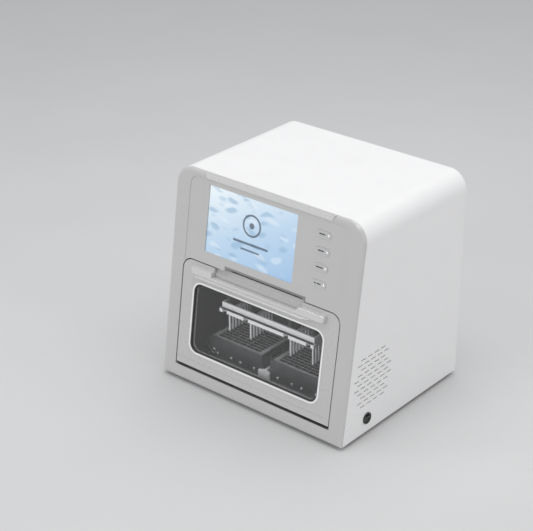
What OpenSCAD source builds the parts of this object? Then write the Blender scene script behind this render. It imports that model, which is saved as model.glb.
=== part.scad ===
// Nucleic acid extractor: a bench instrument that lifts magnet rods in and out of two deep-well plates.
// Sizes are in millimetres. It stands on the XY plane, +Z is up and the front faces -Y.
// Body frame: x across, y back from the front's lower edge, z up from the underside of the housing.
// Face frame: x across, y inward from the leaning front, z up the slope of the front.

/* [Housing] */
// Width of the housing
body_w = 450; // [440:1:560]
// Depth of the housing
body_d = 375; // [370:1:460]
// Height of the housing above its feet
body_h = 428; // [428:1:520]
// Angle by which the front leans back
lean = 8.1; // [6:0.1:10]
// Radius of the top corners
corner_r = 38; // [26:1:46]
// Wall of the outer cover
cover_t = 2.5; // [1.5:0.1:3]
// Sheet of the base pan and the rear panel
sheet_t = 2; // [1:0.1:3]
// Height of the rubber feet
foot_h = 8; // [6:0.5:14]
// Distance of a foot's centre from the edges of the housing
foot_inset = 36; // [30:1:60]

/* [Side vents] */
// Length of a vent slot
vent_slot_l = 14; // [8:0.5:17]
// Height of a vent slot
vent_slot_h = 2.4; // [1.5:0.1:5]
// Distance between slots in a row
vent_pitch_y = 20; // [18:1:24]
// Distance between rows
vent_pitch_z = 10; // [7:0.5:12]
// Centre of the vents, back from the front's lower edge
vent_y = 93; // [90:1:160]
// Centre of the vents, above the underside
vent_z = 111; // [100:1:150]

/* [Front bezel] */
// Depth of the rounded rim in front of the cover
rim_depth = 5; // [4:0.5:8]
// Width of the rounding round the rim
rim_round = 9; // [6:0.5:12]
// Thickness of the bezel's face
bezel_t = 4; // [3.2:0.1:6]
// Depth of the tongue that goes into the cover
tongue_depth = 17; // [14:0.5:18]
// Wall of the tongue
tongue_t = 2.5; // [1.5:0.1:3]
// Depth of the sunk panel round the screen and keys
panel_recess = 1; // [0.5:0.1:1.5]
// Width of the sunk panel
panel_w = 378; // [360:1:380]
// Top of the sunk panel, up the slope
panel_top = 420; // [414:1:422]

/* [Screen] */
// Width of the visible screen
screen_w = 214; // [180:1:220]
// Height of the visible screen
screen_h = 133; // [110:1:136]
// Centre of the screen, across
screen_x = -34.5; // [-50:0.5:-30]
// Lower edge of the screen, up the slope
screen_low = 277; // [274:1:280]
// Thickness of the cover glass
glass_t = 3; // [2:0.1:4]

/* [Keys] */
// Length of a key
key_w = 32.7; // [26:0.1:36]
// Height of a key
key_h = 13.3; // [10:0.1:16]
// Centre of the keys, across
key_x = 134; // [126:0.5:150]
// Centre of the lowest key, up the slope
key_low = 296.5; // [292:0.5:300]
// Distance between the keys
key_pitch = 31.4; // [28:0.1:34]
// Travel of a key
key_travel = 0.8; // [0.5:0.1:1]

/* [Door] */
// Width of the door
door_w = 380; // [378:1:384]
// Lower edge of the door, up the slope
door_low = 31.5; // [30:0.5:34]
// Upper edge of the door, up the slope
door_high = 250.5; // [244:0.5:254]
// Thickness of the door's front moulding
door_shell_t = 11.5; // [9.5:0.5:12]
// Radius of the door's upper corners
door_r = 20; // [10:1:30]
// Gap round the door
door_gap = 2.4; // [1.5:0.1:3]
// Open slot under the door
door_slot = 6.2; // [5:0.1:8]
// Width of the window
window_w = 316; // [260:1:320]
// Lower edge of the window
window_low = 65; // [60:1:80]
// Upper edge of the window
window_high = 208; // [180:1:210]
// Radius of the window's corners
window_r = 18; // [8:1:30]
// Thickness of the window pane
pane_t = 4; // [3:0.1:5]
// Radius of the hinge pins
hinge_pin_r = 3; // [2:0.1:3.5]
// Height of the hinge axis above the door's lower edge
hinge_up = 6; // [5.5:0.1:7]

/* [Plates and rods] */
// Length of a deep-well plate
plate_l = 127.76; // [120:0.01:130]
// Width of a deep-well plate
plate_w = 85.48; // [80:0.01:86]
// Distance between the two plates' centres
plate_pitch = 153.5; // [150:0.5:160]
// Distance between wells
well_pitch = 9; // [8.5:0.1:9.5]
// Rods in a row
rods_per_row = 8; // [6:1:8]
// Columns between the two rows that share a plate
row_columns = 6; // [5:1:6]
// Diameter of a magnet rod
rod_d = 4.4; // [3:0.1:5]
// Height of the rods' tips above the underside
rod_tip_z = 102; // [100:1:106]
// Distance of the front rods behind the front's lower edge
rod_y = 70; // [69:0.5:76]

/* [Mechanism] */
// Half of the width inside the chamber
chamber_half = 178; // [172:1:186]
// Front face of the gantry plate
gantry_y = 185; // [182:1:200]
// Thickness of the gantry plate
gantry_t = 6; // [4:0.5:8]
// Height of the gantry plate
gantry_h = 335; // [330:1:345]
// Radius of the lead screws
screw_r = 4; // [3:0.1:4.5]
// Width of a stepper motor's face
motor_w = 42.3; // [35:0.1:43]
// Length of a stepper motor
motor_l = 34; // [28:1:40]
// Radius of the deck's guide shafts
shaft_r = 4; // [3:0.1:5]
// Height of the deck's shafts and screw
deck_z = 25; // [24:0.5:28]
// Wall of the plate nests
nest_t = 2.5; // [1.5:0.1:3]
// Top of the plate nests
nest_top = 85; // [60:1:88]

/* [Fan and mains] */
// Size of the cooling fan
fan_w = 80; // [60:1:92]
// Radius of the mains switch's rim
switch_r = 11.7; // [10:0.1:14]
// Centre of the mains switch, back from the front's lower edge
switch_y = 78; // [70:1:120]
// Centre of the mains switch, above the underside
switch_z = 29; // [26:1:34]

/* [Hidden] */
$fn = 64;
eps = 0.01;
fit = 0.3;       // gap between pieces that fit together
run = 0.05;      // gap round a shaft that turns or slides in its bore
cut = 400;       // length of a cutting block

seam = rim_depth + fit;                              // front edge of the cover, inward
face_top = (body_h + rim_depth * sin(lean)) / cos(lean);
face_in = cover_t + fit;                             // outside of the tongue, in from the edge
rear_y = body_d - 3 - sheet_t;                       // front of the rear panel
rear_face = rear_y + sheet_t;
pan_half = body_w / 2 - face_in - tongue_t - fit;
pan_rise = 18;
pan_gap = 0.3979;                                    // bezel's back to the top of the pan's front wall
pan_front = bezel_t / cos(lean) + pan_rise * tan(lean) + pan_gap;

screen_high = screen_low + screen_h;
glass_lap = 3;                                       // glass hidden behind the bezel's lip
lip_t = bezel_t / 2;                                 // bezel in front of the glass and the key flanges
module_t = 9;
key_proud = 0.8;
key_flange_t = 1.4;
board_gap = 3;                                       // key flange to key board
key_post = key_h / 2 + 8;                            // posts beyond the end keys
board_t = 1.6;

door_face = 0.5;                                     // front of the door, inward
door_back = door_face + door_shell_t;
liner_t = 2.5;
door_end = door_back + liner_t;                      // back of the door's inner panel
seal_t = 3.9;
frame_n = door_end + seal_t + fit;                   // front of the chamber's flange
skin = 3;
hinge_n = 8;
hinge_z = door_low + hinge_up;
hinge_pin_l = 26;
hinge_pin_in = 14;                                   // length of a pin inside the door
hinge_block_t = 12;
slot_low = door_low - door_slot;

handle_w = 320;
handle_low = 222;
handle_high = 243;
handle_lip = 233;
handle_out = 8.5;
scoop_left = -112;
scoop_right = 103;
scoop_blend = 20;

liner_sheet = 1.5;
liner_top = 262;
flange_w = chamber_half + 22;
mouth_half = chamber_half - 6;
mouth_low = 44.5;
mouth_high = 240;
mouth_r = 12;

rows = [for (p = [-1, 1], s = [-1, 1]) p * plate_pitch / 2 + s * row_columns * well_pitch / 2];
row_len = (rods_per_row - 1) * well_pitch;
row_mid = rod_y + row_len / 2;
strip_w = 10;
strip_low = 156;
plate_low = 196;
plate_thick = 8;
rod_reach = 20;                                      // length of a rod inside its strip
strip_y = [rod_y - 5, rod_y + row_len + 5];

bar_y = strip_y[0] - 5;                              // front face of the upper bar
bar_t = 3.5;
bar_z = [156, 167];
rack_y = bar_y - 5.5;                                // front face of the comb rack
rack_z = [147, 154.5];
rack_front_t = 8;
rack_half = 116.5;
rail_gap = 11;                                       // clear width of a comb's slot
rail_t = 3;
rack_end = strip_y[1] + 10;
arm_x = 110.8;
arm_t = 3;

carriage_y = gantry_y - 20;                          // front of the sleeve carriage
carriage_t = 6;
carriage_half = 112;
carriage_z = [rack_z[0], 300];
lift_rail = [12, 8];                                 // width and depth
lift_rail_x = 80;
lift_block = [34, 60];                               // width and height
lift_block_z = 200;
lift_axis_y = gantry_y - 7;
block_w = 24;
bearing_gap = 0.2;

magnet_rail = [9, 6];
magnet_rail_x = 90;
magnet_block = [22, 34];
magnet_block_z = 206;
magnet_plate_back = carriage_y - 9;
magnet_carriage_t = 6;
magnet_carriage_top = 246;
magnet_screw_x = 50;
magnet_screw_r = 3;
magnet_axis_y = carriage_y - 4.5;
magnet_motor_w = 35;
nut_z = 214;
nut_h = 20;

shaft_y = [row_mid - 33, row_mid + 33];
deck_plate = [deck_z + 10, deck_z + 15];             // bottom and top of the carrier's floor
support_t = 8;
support_in = chamber_half - support_t;
bushing = [24, 20];
bushing_x = 100;
nest_fit = 0.5;
nest_l = plate_l + 2 * nest_fit;
nest_w = plate_w + 2 * nest_fit;
nest_x = [for (p = [-1, 1]) p * plate_pitch / 2];
heater_h = 6;
pocket_r = 4.1;
pocket_depth = 4;

fan_t = 25;
fan_x = -100;
fan_z = 235;
fan_hub_r = fan_w * 0.24;
fan_shaft_r = 2;
fan_bore_r = fan_w / 2 - 2.5;
inlet_x = 150;
inlet_z = 62;
vent_rows = 5;

// ---- frames and outlines ----
module in_body() translate([0, -body_d / 2, foot_h]) children();
module in_face() rotate([-lean, 0, 0]) children();
module on_face() in_body() in_face() children();

// extrudes an outline drawn in x and z from depth y0 to y1
module slab(y0, y1) translate([0, y1, 0]) rotate([90, 0, 0]) linear_extrude(y1 - y0) children();

// extrudes an outline drawn in y and z from x0 to x1
module rib(x0, x1) translate([x0, 0, 0]) rotate([90, 0, 90]) linear_extrude(x1 - x0) children();

module box(a, b) translate(a) cube(b - a);

// rectangle with four round corners
module pad(x0, x1, z0, z1, r) {
    translate([x0 + r, z0]) square([x1 - x0 - 2 * r, z1 - z0]);
    translate([x0, z0 + r]) square([x1 - x0, z1 - z0 - 2 * r]);
    for (x = [x0 + r, x1 - r], z = [z0 + r, z1 - r]) translate([x, z]) circle(r);
}

// rectangle with two round corners at the top
module arch(x0, x1, z0, z1, r) {
    translate([x0, z0]) square([x1 - x0, z1 - z0 - r]);
    translate([x0 + r, z0]) square([x1 - x0 - 2 * r, z1 - z0]);
    for (x = [x0 + r, x1 - r]) translate([x, z1 - r]) circle(r);
}

module bar_x(r, x0, x1) translate([x0, 0, 0]) rotate([0, 90, 0]) cylinder(r = r, h = x1 - x0);
module bar_y(r, y0, y1) translate([0, y0, 0]) rotate([-90, 0, 0]) cylinder(r = r, h = y1 - y0);
module both() for (s = [0, 1]) mirror([s, 0, 0]) children();

// everything in front of a plane that leans with the front, at depth n
module before(n) in_face() translate([-body_w, n - cut, -cut / 4]) cube([2 * body_w, cut, 2 * body_h]);

// ---- housing ----
module housing_outline(inset, low = 0)
    arch(inset - body_w / 2, body_w / 2 - inset, low, body_h - inset, corner_r - inset);

function slots_in_row(i) = i % 2 == 0 ? 5 : abs(i) == 1 ? 6 : 4;

module vent_slots()
    for (i = [-vent_rows:vent_rows], j = [1:slots_in_row(i)])
        translate([vent_y + (j - (slots_in_row(i) + 1) / 2) * vent_pitch_y - vent_slot_l / 2,
                   vent_z + i * vent_pitch_z - vent_slot_h / 2])
            square([vent_slot_l, vent_slot_h]);

module outer_cover() color([0.94, 0.94, 0.93]) in_body() difference() {
    slab(0, body_d) difference() {
        housing_outline(0);
        housing_outline(cover_t, -1);
    }
    before(seam);
    rib(-body_w, body_w) vent_slots();
    translate([0, switch_y, switch_z]) bar_x(switch_r - 1.5 + run, 0, body_w);
}

module base_pan() color([0.72, 0.73, 0.74]) in_body() difference() {
    box([-pan_half, pan_front, 0], [pan_half, rear_y - fit, pan_rise]);
    box([-pan_half + sheet_t, pan_front + sheet_t, sheet_t],
        [pan_half - sheet_t, rear_y - fit - sheet_t, pan_rise + 1]);
    foot_places() translate([0, 0, -1]) cylinder(r = 2.2, h = sheet_t + 2);
    translate([0, switch_y, switch_z]) bar_x(switch_r + 1, pan_half - 5, pan_half + 1);
}

module foot_places()
    for (x = [-1, 1], y = [foot_inset, body_d - foot_inset])
        translate([x * (body_w / 2 - foot_inset), y, 0]) children();

module feet() color([0.12, 0.12, 0.12]) in_body() foot_places() rotate_extrude()
    polygon([[0, -foot_h + 3], [4, -foot_h + 3], [4, -foot_h], [9.5, -foot_h], [11, 0], [2.1, 0],
        [2.1, sheet_t + 2], [0, sheet_t + 2]]);

module fan_rings() {
    for (r = [fan_hub_r : 6 : fan_bore_r - 4]) difference() {
        circle(r + 4.2);
        circle(r);
        for (a = [45, 135]) rotate(a) square([fan_w * 2, 3], center = true);
    }
}

module fan_screw_holes() for (x = [-1, 1], z = [-1, 1]) translate([x, z] * fan_w * 0.447) circle(2.2);

module inlet_outline(gap) translate([-14 - gap, -12 - gap]) square([28 + 2 * gap, 24 + 2 * gap]);

module rear_panel() color([0.9, 0.9, 0.89]) in_body() slab(rear_y, rear_face) difference() {
    housing_outline(face_in, sheet_t / 2);
    translate([fan_x, fan_z]) {
        fan_rings();
        fan_screw_holes();
    }
    translate([inlet_x, inlet_z]) inlet_outline(fit);
}

module panel_screws() color([0.75, 0.75, 0.76]) in_body() {
    for (x = [-1, 1], z = [20, body_h / 2, body_h - corner_r - 6])
        translate([x * (body_w / 2 - 12), 0, z]) screw_head();
    for (x = [-1, 0, 1]) translate([x * (body_w / 2 - corner_r - 12), 0, body_h - 10]) screw_head();
}

module screw_head() difference() {
    bar_y(3.4, rear_face, rear_face + 1.8);
    for (a = [0, 90]) rotate([0, a, 0]) translate([-2, rear_face + 1, -0.4]) cube([4, 2, 0.8]);
}

// ---- front bezel ----
module face_outline(inset, low)
    arch(inset - body_w / 2, body_w / 2 - inset, low, face_top - inset, corner_r - inset);

// depth, share of the rounding still to come, for each layer of the rim
rim_layers = [[0, 1], [0.12, 0.55], [0.42, 0.2], [0.96, 0]];

module rim_cap() hull() for (l = rim_layers)
    slab(l[0] * rim_depth, l[0] * rim_depth + 0.04 * rim_depth)
        face_outline(l[1] * rim_round, l[1] * rim_round / 2 - (1 - l[1]) * 2, $fn = 48);

module door_outline(gap, low) arch(-door_w / 2 - gap, door_w / 2 + gap, low, door_high + gap, door_r + gap);

module screen_outline(gap) pad(screen_x - screen_w / 2 - gap, screen_x + screen_w / 2 + gap, screen_low - gap,
    screen_high + gap, 1.5);

module key_outline(i, gap) translate([key_x, key_low + i * key_pitch])
    pad(-key_w / 2 - gap, key_w / 2 + gap, -key_h / 2 - gap, key_h / 2 + gap, key_h / 2 + gap - eps);

module bezel_solid() {
    rim_cap();
    // tongue that slides into the cover
    slab(rim_depth - eps, tongue_depth) difference() {
        face_outline(face_in, -5);
        face_outline(face_in + tongue_t, -6);
    }
    // return wall round the door
    slab(bezel_t - 1, tongue_depth) difference() {
        door_outline(door_gap + skin, slot_low - skin);
        door_outline(door_gap, slot_low);
    }
    // body of the finger recess above the door
    slab(bezel_t - 1, tongue_depth - 1) pad(scoop_left + 16, scoop_right + 12, door_high + door_gap + 1,
        door_high + 20, 3);
    // plain raised tab at the top edge
    slab(0, rim_depth) polygon([[-150, panel_top], [150, panel_top], [156, face_top], [-156, face_top]]);
    // guides round the keys
    for (i = [0:3]) slab(bezel_t - 1, bezel_t + 2) difference() {
        key_outline(i, 4);
        key_outline(i, 2);
    }
}

module front_bezel() color([0.74, 0.74, 0.73]) in_body() intersection() {
    in_face() difference() {
        bezel_solid();
        slab(bezel_t, rim_depth + 1) difference() {
            face_outline(face_in + tongue_t, -6);
            door_outline(door_gap + skin, slot_low - skin);
            pad(scoop_left + 16, scoop_right + 12, door_high + door_gap + 1, door_high + 20, 3);
            for (i = [0:3]) key_outline(i, 4);
        }
        slab(-1, tongue_depth + 1) door_outline(door_gap, slot_low);
        slab(-1, panel_recess) arch(-panel_w / 2, panel_w / 2, door_high - 20, panel_top, door_r);
        slab(-1, rim_depth + 1) screen_outline(0);
        slab(lip_t + panel_recess, rim_depth + 1) screen_outline(glass_lap + fit);
        for (i = [0:3]) {
            slab(-1, rim_depth + 3) key_outline(i, fit);
            slab(lip_t + panel_recess, rim_depth + 3) key_outline(i, 2);
        }
        // finger recess
        translate([0, 3, door_high]) bar_x(12, scoop_left + 24, scoop_right + 5);
        translate([0, hinge_n, hinge_z]) bar_x(hinge_pin_r + 0.5, -body_w / 2 + 10, body_w / 2 - 10);
    }
    box([-body_w, -cut, 0], [body_w, cut, body_h]);
}

module screen_glass() color([0.72, 0.84, 0.93]) on_face()
    slab(lip_t + panel_recess, lip_t + panel_recess + glass_t) screen_outline(glass_lap);

module_front = lip_t + panel_recess + glass_t;
module display_module() color([0.6, 0.61, 0.62]) on_face() {
    slab(module_front, module_front + module_t) screen_outline(glass_lap + 3);
    slab(module_front + module_t, module_front + module_t + 4)
        pad(screen_x - 40, screen_x + 50, screen_low + 20, screen_low + 85, 2);
}

key_back = lip_t + panel_recess + key_flange_t;      // back of a key's flange
module key(i) color([0.78, 0.78, 0.77]) on_face() {
    slab(panel_recess - key_proud, key_back) key_outline(i, 0);
    slab(lip_t + panel_recess + eps, key_back) key_outline(i, 1.6);
    translate([key_x, 0, key_low + i * key_pitch])
        bar_y(2.5, key_back - eps, key_back + board_gap - key_travel - fit);
}
module key_1() key(3);
module key_2() key(2);
module key_3() key(1);
module key_4() key(0);

board_front = key_back + board_gap + key_travel + 1.2;
module key_board() color([0.1, 0.35, 0.2]) on_face() {
    slab(board_front, board_front + board_t)
        pad(key_x - key_w / 2 - 6, key_x + key_w / 2 + 6, key_low - key_post - 4,
            key_low + 3 * key_pitch + key_post + 4, 2);
    for (i = [0:3]) translate([key_x, 0, key_low + i * key_pitch])
        box([-3, key_back + board_gap, -3], [3, board_front, 3]);
    // posts that screw to the back of the bezel's face
    for (x = [-1, 1], z = [key_low - key_post, key_low + 3 * key_pitch + key_post])
        translate([key_x + x * (key_w / 2 + 2), 0, z]) bar_y(2.5, bezel_t, board_front);
}

// ---- door ----
module window_outline(gap) pad(-window_w / 2 - gap, window_w / 2 + gap, window_low - gap, window_high + gap,
    window_r + gap);

trim_t = 1.3;        // trim inside the window's edge
pane_lap = 6;        // pane hidden behind the door's face
pane_n = door_face + skin + 0.2;

module on_hinge() translate([0, hinge_n, hinge_z]) children();

module door_frame() color([0.8, 0.8, 0.79]) on_face() difference() {
    slab(door_face, door_back) difference() {
        door_outline(0, door_low);
        window_outline(trim_t);
    }
    // hollow back, with walls round the edge, the pane and the finger recess
    slab(door_face + skin, door_back + 1) difference() {
        door_outline(-skin, door_low + skin);
        window_outline(pane_lap + fit + skin);
        pad(scoop_left - 6, scoop_right + 8, handle_low + 4, door_high + 5, 3);
        for (x = [-1, 1]) translate([x * (door_w / 2 - hinge_pin_in / 2 - 3), hinge_z])
            square([hinge_pin_in + 8, 2 * hinge_up + 4], center = true);
    }
    slab(door_face + skin, door_back + 1) window_outline(pane_lap + fit);
    // finger recess: a round trough, open to the door's upper edge
    slab(door_face - 1, 4) pad(scoop_left, scoop_right, handle_lip - 3, door_high + 8, 3);
    translate([0, -1.5, door_high + 1]) bar_x(12.5, scoop_left, scoop_right);
    // step across the foot of the door
    slab(door_face - 1, door_face + 0.5) translate([-door_w / 2 - 1, 44.5]) square([door_w + 2, 1.2]);
    on_hinge() bar_x(hinge_pin_r + run, -door_w, -door_w / 2 + hinge_pin_in + 1);
    on_hinge() bar_x(hinge_pin_r + run, door_w / 2 - hinge_pin_in - 1, door_w);
}

module handle_outline() difference() {
    polygon([[-handle_w / 2 + 8, handle_low], [handle_w / 2 - 50, handle_low],
        [handle_w / 2 - 2, handle_low + 8], [handle_w / 2, handle_low + 10],
        [handle_w / 2, handle_high - 1], [handle_w / 2 - 1, handle_high],
        [-handle_w / 2 + 1, handle_high], [-handle_w / 2 - 2, handle_high - 2],
        [-handle_w / 2 - 2, handle_low + 8]]);
    // finger notch, square at the left and curved at the right
    translate([scoop_left, handle_lip]) square([scoop_right - scoop_left - scoop_blend, 20]);
    translate([scoop_right - scoop_blend, handle_lip]) difference() {
        square([scoop_blend, 20]);
        translate([scoop_blend, -scoop_blend * 0.9]) circle(scoop_blend * 0.9);
        translate([scoop_blend * 0.5, 0]) rotate(-42) square([scoop_blend * 1.2, 20]);
    }
}

module door_handle() color([0.86, 0.86, 0.85]) on_face() difference() {
    slab(-handle_out, door_face) handle_outline();
    // lower face slopes back to the door
    translate([-handle_w, -handle_out, handle_low]) rotate([-38, 0, 0]) translate([0, -30, -12])
        cube([2 * handle_w, 30, 17]);
    // upper face slopes back to the door
    translate([-handle_w, -handle_out, handle_high]) rotate([50, 0, 0]) translate([0, -30, -1.5])
        cube([2 * handle_w, 30, 20]);
}

module door_liner() color([0.7, 0.7, 0.69]) on_face() difference() {
    slab(door_back, door_end) difference() {
        door_outline(-0.5, door_low + 0.5);
        window_outline(0);
    }
    translate([0, -1.5, door_high + 1]) bar_x(12.5, scoop_left, scoop_right);
}

module window_trim() color([0.95, 0.95, 0.95]) on_face() {
    slab(door_face - 1.2, door_face) difference() {
        window_outline(3.6);
        window_outline(0);
    }
    slab(door_face, door_face + skin) difference() {
        window_outline(trim_t);
        window_outline(0);
    }
}

module window_pane() color([0.35, 0.37, 0.4, 0.5]) on_face()
    slab(pane_n, pane_n + pane_t) window_outline(pane_lap);

module door_seal() color([0.1, 0.1, 0.1]) on_face() slab(door_end, door_end + seal_t) difference() {
    pad(-mouth_half - 8, mouth_half + 8, mouth_low - 6, mouth_high + 7, mouth_r + 4);
    pad(-mouth_half - 3, mouth_half + 3, mouth_low - 1.5, mouth_high + 2, mouth_r);
}

module hinge_pins() color([0.7, 0.7, 0.72]) on_face() on_hinge() both()
    bar_x(hinge_pin_r, door_w / 2 - hinge_pin_in, door_w / 2 - hinge_pin_in + hinge_pin_l);

module hinge_blocks() color([0.5, 0.5, 0.52]) on_face() both() difference() {
    translate([door_w / 2 + door_gap + skin + fit, bezel_t, slot_low - skin])
        cube([hinge_block_t, tongue_depth - bezel_t, 2 * hinge_up + 12]);
    on_hinge() bar_x(hinge_pin_r, 0, body_w);
}

module catch_magnets() color([0.55, 0.56, 0.58]) on_face() both()
    slab(door_end + fit, frame_n) translate([mouth_half + 10, mouth_high - 24]) square([7, 20]);

// ---- chamber ----
module chamber_liner() color([0.2, 0.2, 0.21]) in_body() {
    difference() {
        union() {
            both() box([chamber_half, 0, sheet_t], [chamber_half + liner_sheet, gantry_y + gantry_t, liner_top]);
            box([-chamber_half - eps, 0, sheet_t], [chamber_half + eps, gantry_y, sheet_t + liner_sheet]);
        }
        before(frame_n + liner_sheet - eps);
        translate([0, row_mid, deck_z]) bar_x(screw_r + 3, -body_w, 0);
    }
    intersection() {
        in_face() slab(frame_n, frame_n + liner_sheet) difference() {
            pad(-flange_w, flange_w, 0, liner_top + 4, 2);
            pad(-mouth_half, mouth_half, mouth_low, mouth_high, mouth_r);
        }
        box([-body_w, -cut, sheet_t + 1], [body_w, cut, body_h]);
    }
}

module uv_lamp() color([0.85, 0.88, 0.95, 0.7]) in_body()
    translate([uv_x, 0, uv_z]) bar_y(7.5, uv_y[0] + 8, uv_y[1] - 8);
uv_x = -chamber_half + 12;
uv_z = 205;
uv_gap = 4.9974;                                     // chamber's flange to the top of the front socket
uv_y = [(frame_n + liner_sheet) / cos(lean) + (uv_z + 10) * tan(lean) + uv_gap, gantry_y - 2];
module uv_sockets() color([0.9, 0.9, 0.88]) in_body() for (y = [uv_y[0], uv_y[1] - 8])
    box([-chamber_half, y, uv_z - 10], [uv_x + 9, y + 8, uv_z + 10]);

// ---- gantry and lift ----
module gantry_plate() color([0.3, 0.3, 0.32]) in_body() {
    slab(gantry_y, gantry_y + gantry_t) difference() {
        translate([-chamber_half, sheet_t]) square([2 * chamber_half, gantry_h - sheet_t]);
        for (x = [-1, 1]) translate([x * (lift_rail_x + 55), gantry_h - 70]) circle(18);
    }
    // gussets to the base pan
    both() rib(chamber_half - 30, chamber_half - 27) polygon([[gantry_y + gantry_t - eps, sheet_t],
        [gantry_y + gantry_t + 60, sheet_t], [gantry_y + gantry_t + 60, sheet_t + 12],
        [gantry_y + gantry_t + 12, 170], [gantry_y + gantry_t - eps, 170]]);
    both() box([chamber_half - 44, gantry_y + gantry_t - eps, sheet_t],
        [chamber_half - 27, gantry_y + gantry_t + 60, sheet_t + 3]);
}

module lift_rails() color([0.75, 0.76, 0.78]) in_body() both() difference() {
    box([lift_rail_x - lift_rail[0] / 2, gantry_y - lift_rail[1], rack_z[0] - 45],
        [lift_rail_x + lift_rail[0] / 2, gantry_y, gantry_h - 5]);
    for (x = [-1, 1]) translate([lift_rail_x + x * lift_rail[0] / 2, gantry_y - lift_rail[1] / 2, rack_z[0] - 50])
        cylinder(r = 1.2, h = gantry_h, $fn = 24);
}

lift_screw_z = [rack_z[0] - 50, gantry_h + 5 - fit];
module lift_screw() color([0.7, 0.71, 0.73]) in_body()
    translate([0, lift_axis_y, lift_screw_z[0]]) cylinder(r = screw_r, h = lift_screw_z[1] - lift_screw_z[0]);

module lift_screw_blocks() color([0.55, 0.56, 0.58]) in_body() for (z = [lift_screw_z[0], gantry_h - 14])
    difference() {
        box([-block_w / 2, lift_axis_y - screw_r - 2.2, z], [block_w / 2, gantry_y, z + 11]);
        translate([0, lift_axis_y, z - 1]) cylinder(r = screw_r + run, h = 20);
        for (x = [-1, 1]) translate([x * 9, 0, z + 5.5]) bar_y(1.6, lift_axis_y - 20, gantry_y + 1);
    }

module lift_bracket() color([0.6, 0.61, 0.63]) in_body() difference() {
    box([-motor_w / 2 - 3, lift_axis_y - motor_w / 2, gantry_h],
        [motor_w / 2 + 3, gantry_y + gantry_t + 8, gantry_h + 5]);
    translate([0, lift_axis_y, gantry_h - 1]) cylinder(r = 11, h = 10);
}

// stepper motor along +Z from the origin: end bells, stack and boss
module stepper(w, l) {
    for (z = [0, l - 8]) translate([0, 0, z]) linear_extrude(8) pad(-w / 2, w / 2, -w / 2, w / 2, 3);
    translate([0, 0, 8 - eps]) linear_extrude(l - 16 + 2 * eps) intersection() {
        square(w - 1.5, center = true);
        rotate(45) square(w * 1.19, center = true);
    }
    translate([w / 2 - 4, -7, l - 14]) cube([8, 14, 9]);
}

module lift_motor() color([0.16, 0.16, 0.17]) in_body() translate([0, lift_axis_y, gantry_h + 5])
    rotate(-90) stepper(motor_w, motor_l);

module sleeve_carriage() color([0.32, 0.33, 0.35]) in_body() {
    slab(carriage_y, carriage_y + carriage_t) difference() {
        pad(-carriage_half, carriage_half, carriage_z[0], carriage_z[1], 3);
        for (x = [-1, 1]) translate([x * 32, carriage_z[0] + 40]) circle(14);
    }
    // nut of the lift screw
    difference() {
        box([-block_w / 2, carriage_y + carriage_t - eps, nut_z], [block_w / 2, gantry_y - 1, nut_z + 30]);
        translate([0, lift_axis_y, nut_z - 1]) cylinder(r = screw_r + run, h = 40);
    }
    // shelf of the rod motor
    difference() {
        box([magnet_screw_x - 20, magnet_axis_y - magnet_motor_w / 2, carriage_z[1] - eps],
            [magnet_screw_x + 20, carriage_y + carriage_t, carriage_z[1] + 4]);
        translate([magnet_screw_x, magnet_axis_y, carriage_z[1] - 1]) cylinder(r = magnet_screw_r + 2, h = 10);
    }
}

// block that runs on a rail; the rail's front face lies at rail_y
module bearing(x, w, h, z, y0, y1, rail_w, rail_y) difference() {
    box([x - w / 2, y0, z], [x + w / 2, y1, z + h]);
    box([x - rail_w / 2 - bearing_gap, rail_y - bearing_gap, z - 1],
        [x + rail_w / 2 + bearing_gap, y1 + 1, z + h + 1]);
}

module lift_bearings() color([0.62, 0.63, 0.65]) in_body() for (x = [-1, 1])
    bearing(x * lift_rail_x, lift_block[0], lift_block[1], lift_block_z, carriage_y + carriage_t, gantry_y - 2,
        lift_rail[0], gantry_y - lift_rail[1]);

// slots for the tip combs, open at the front, between rails that run back
module comb_rack() color([0.86, 0.86, 0.87]) in_body() {
    translate([0, 0, rack_z[0]]) linear_extrude(rack_z[1] - rack_z[0]) difference() {
        union() {
            translate([-rack_half, rack_y]) square([2 * rack_half, rack_front_t]);
            translate([-rack_half, rack_end]) square([2 * rack_half, carriage_y - rack_end]);
            for (x = rows, s = [-1, 1]) translate([x + s * (rail_gap + rail_t) / 2 - rail_t / 2, rack_y])
                square([rail_t, rack_end - rack_y + 1]);
        }
        for (x = rows) translate([x - rail_gap / 2, rack_y - 1]) square([rail_gap, rack_end - rack_y]);
    }
    // ledges that carry the combs' edges
    for (x = rows, s = [-1, 1])
        box([x + s * (rail_gap / 2 + 1) - 2, rack_y + rack_front_t, rack_z[0] - 2],
            [x + s * (rail_gap / 2 + 1) + 2, rack_end + 1, rack_z[0] + eps]);
}

module rack_frame() color([0.88, 0.88, 0.89]) in_body() {
    box([-arm_x - arm_t + 0.5, bar_y, bar_z[0]], [arm_x + arm_t - 0.5, bar_y + bar_t, bar_z[1]]);
    both() rib(arm_x, arm_x + arm_t) polygon([[bar_y, rack_z[1]], [carriage_y, rack_z[1]],
        [carriage_y, bar_z[1] + 40], [carriage_y - 12, bar_z[1] + 40], [carriage_y - 40, bar_z[1]],
        [bar_y, bar_z[1]]]);
}

magnet_rail_z = [strip_low + 34, carriage_z[1] - 2];
module magnet_rails() color([0.75, 0.76, 0.78]) in_body() both()
    box([magnet_rail_x - magnet_rail[0] / 2, carriage_y - magnet_rail[1], magnet_rail_z[0]],
        [magnet_rail_x + magnet_rail[0] / 2, carriage_y, magnet_rail_z[1]]);

module magnet_motor() color([0.16, 0.16, 0.17]) in_body()
    translate([magnet_screw_x, magnet_axis_y, carriage_z[1] + 4]) rotate(180)
        stepper(magnet_motor_w, motor_l - 2);

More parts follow.
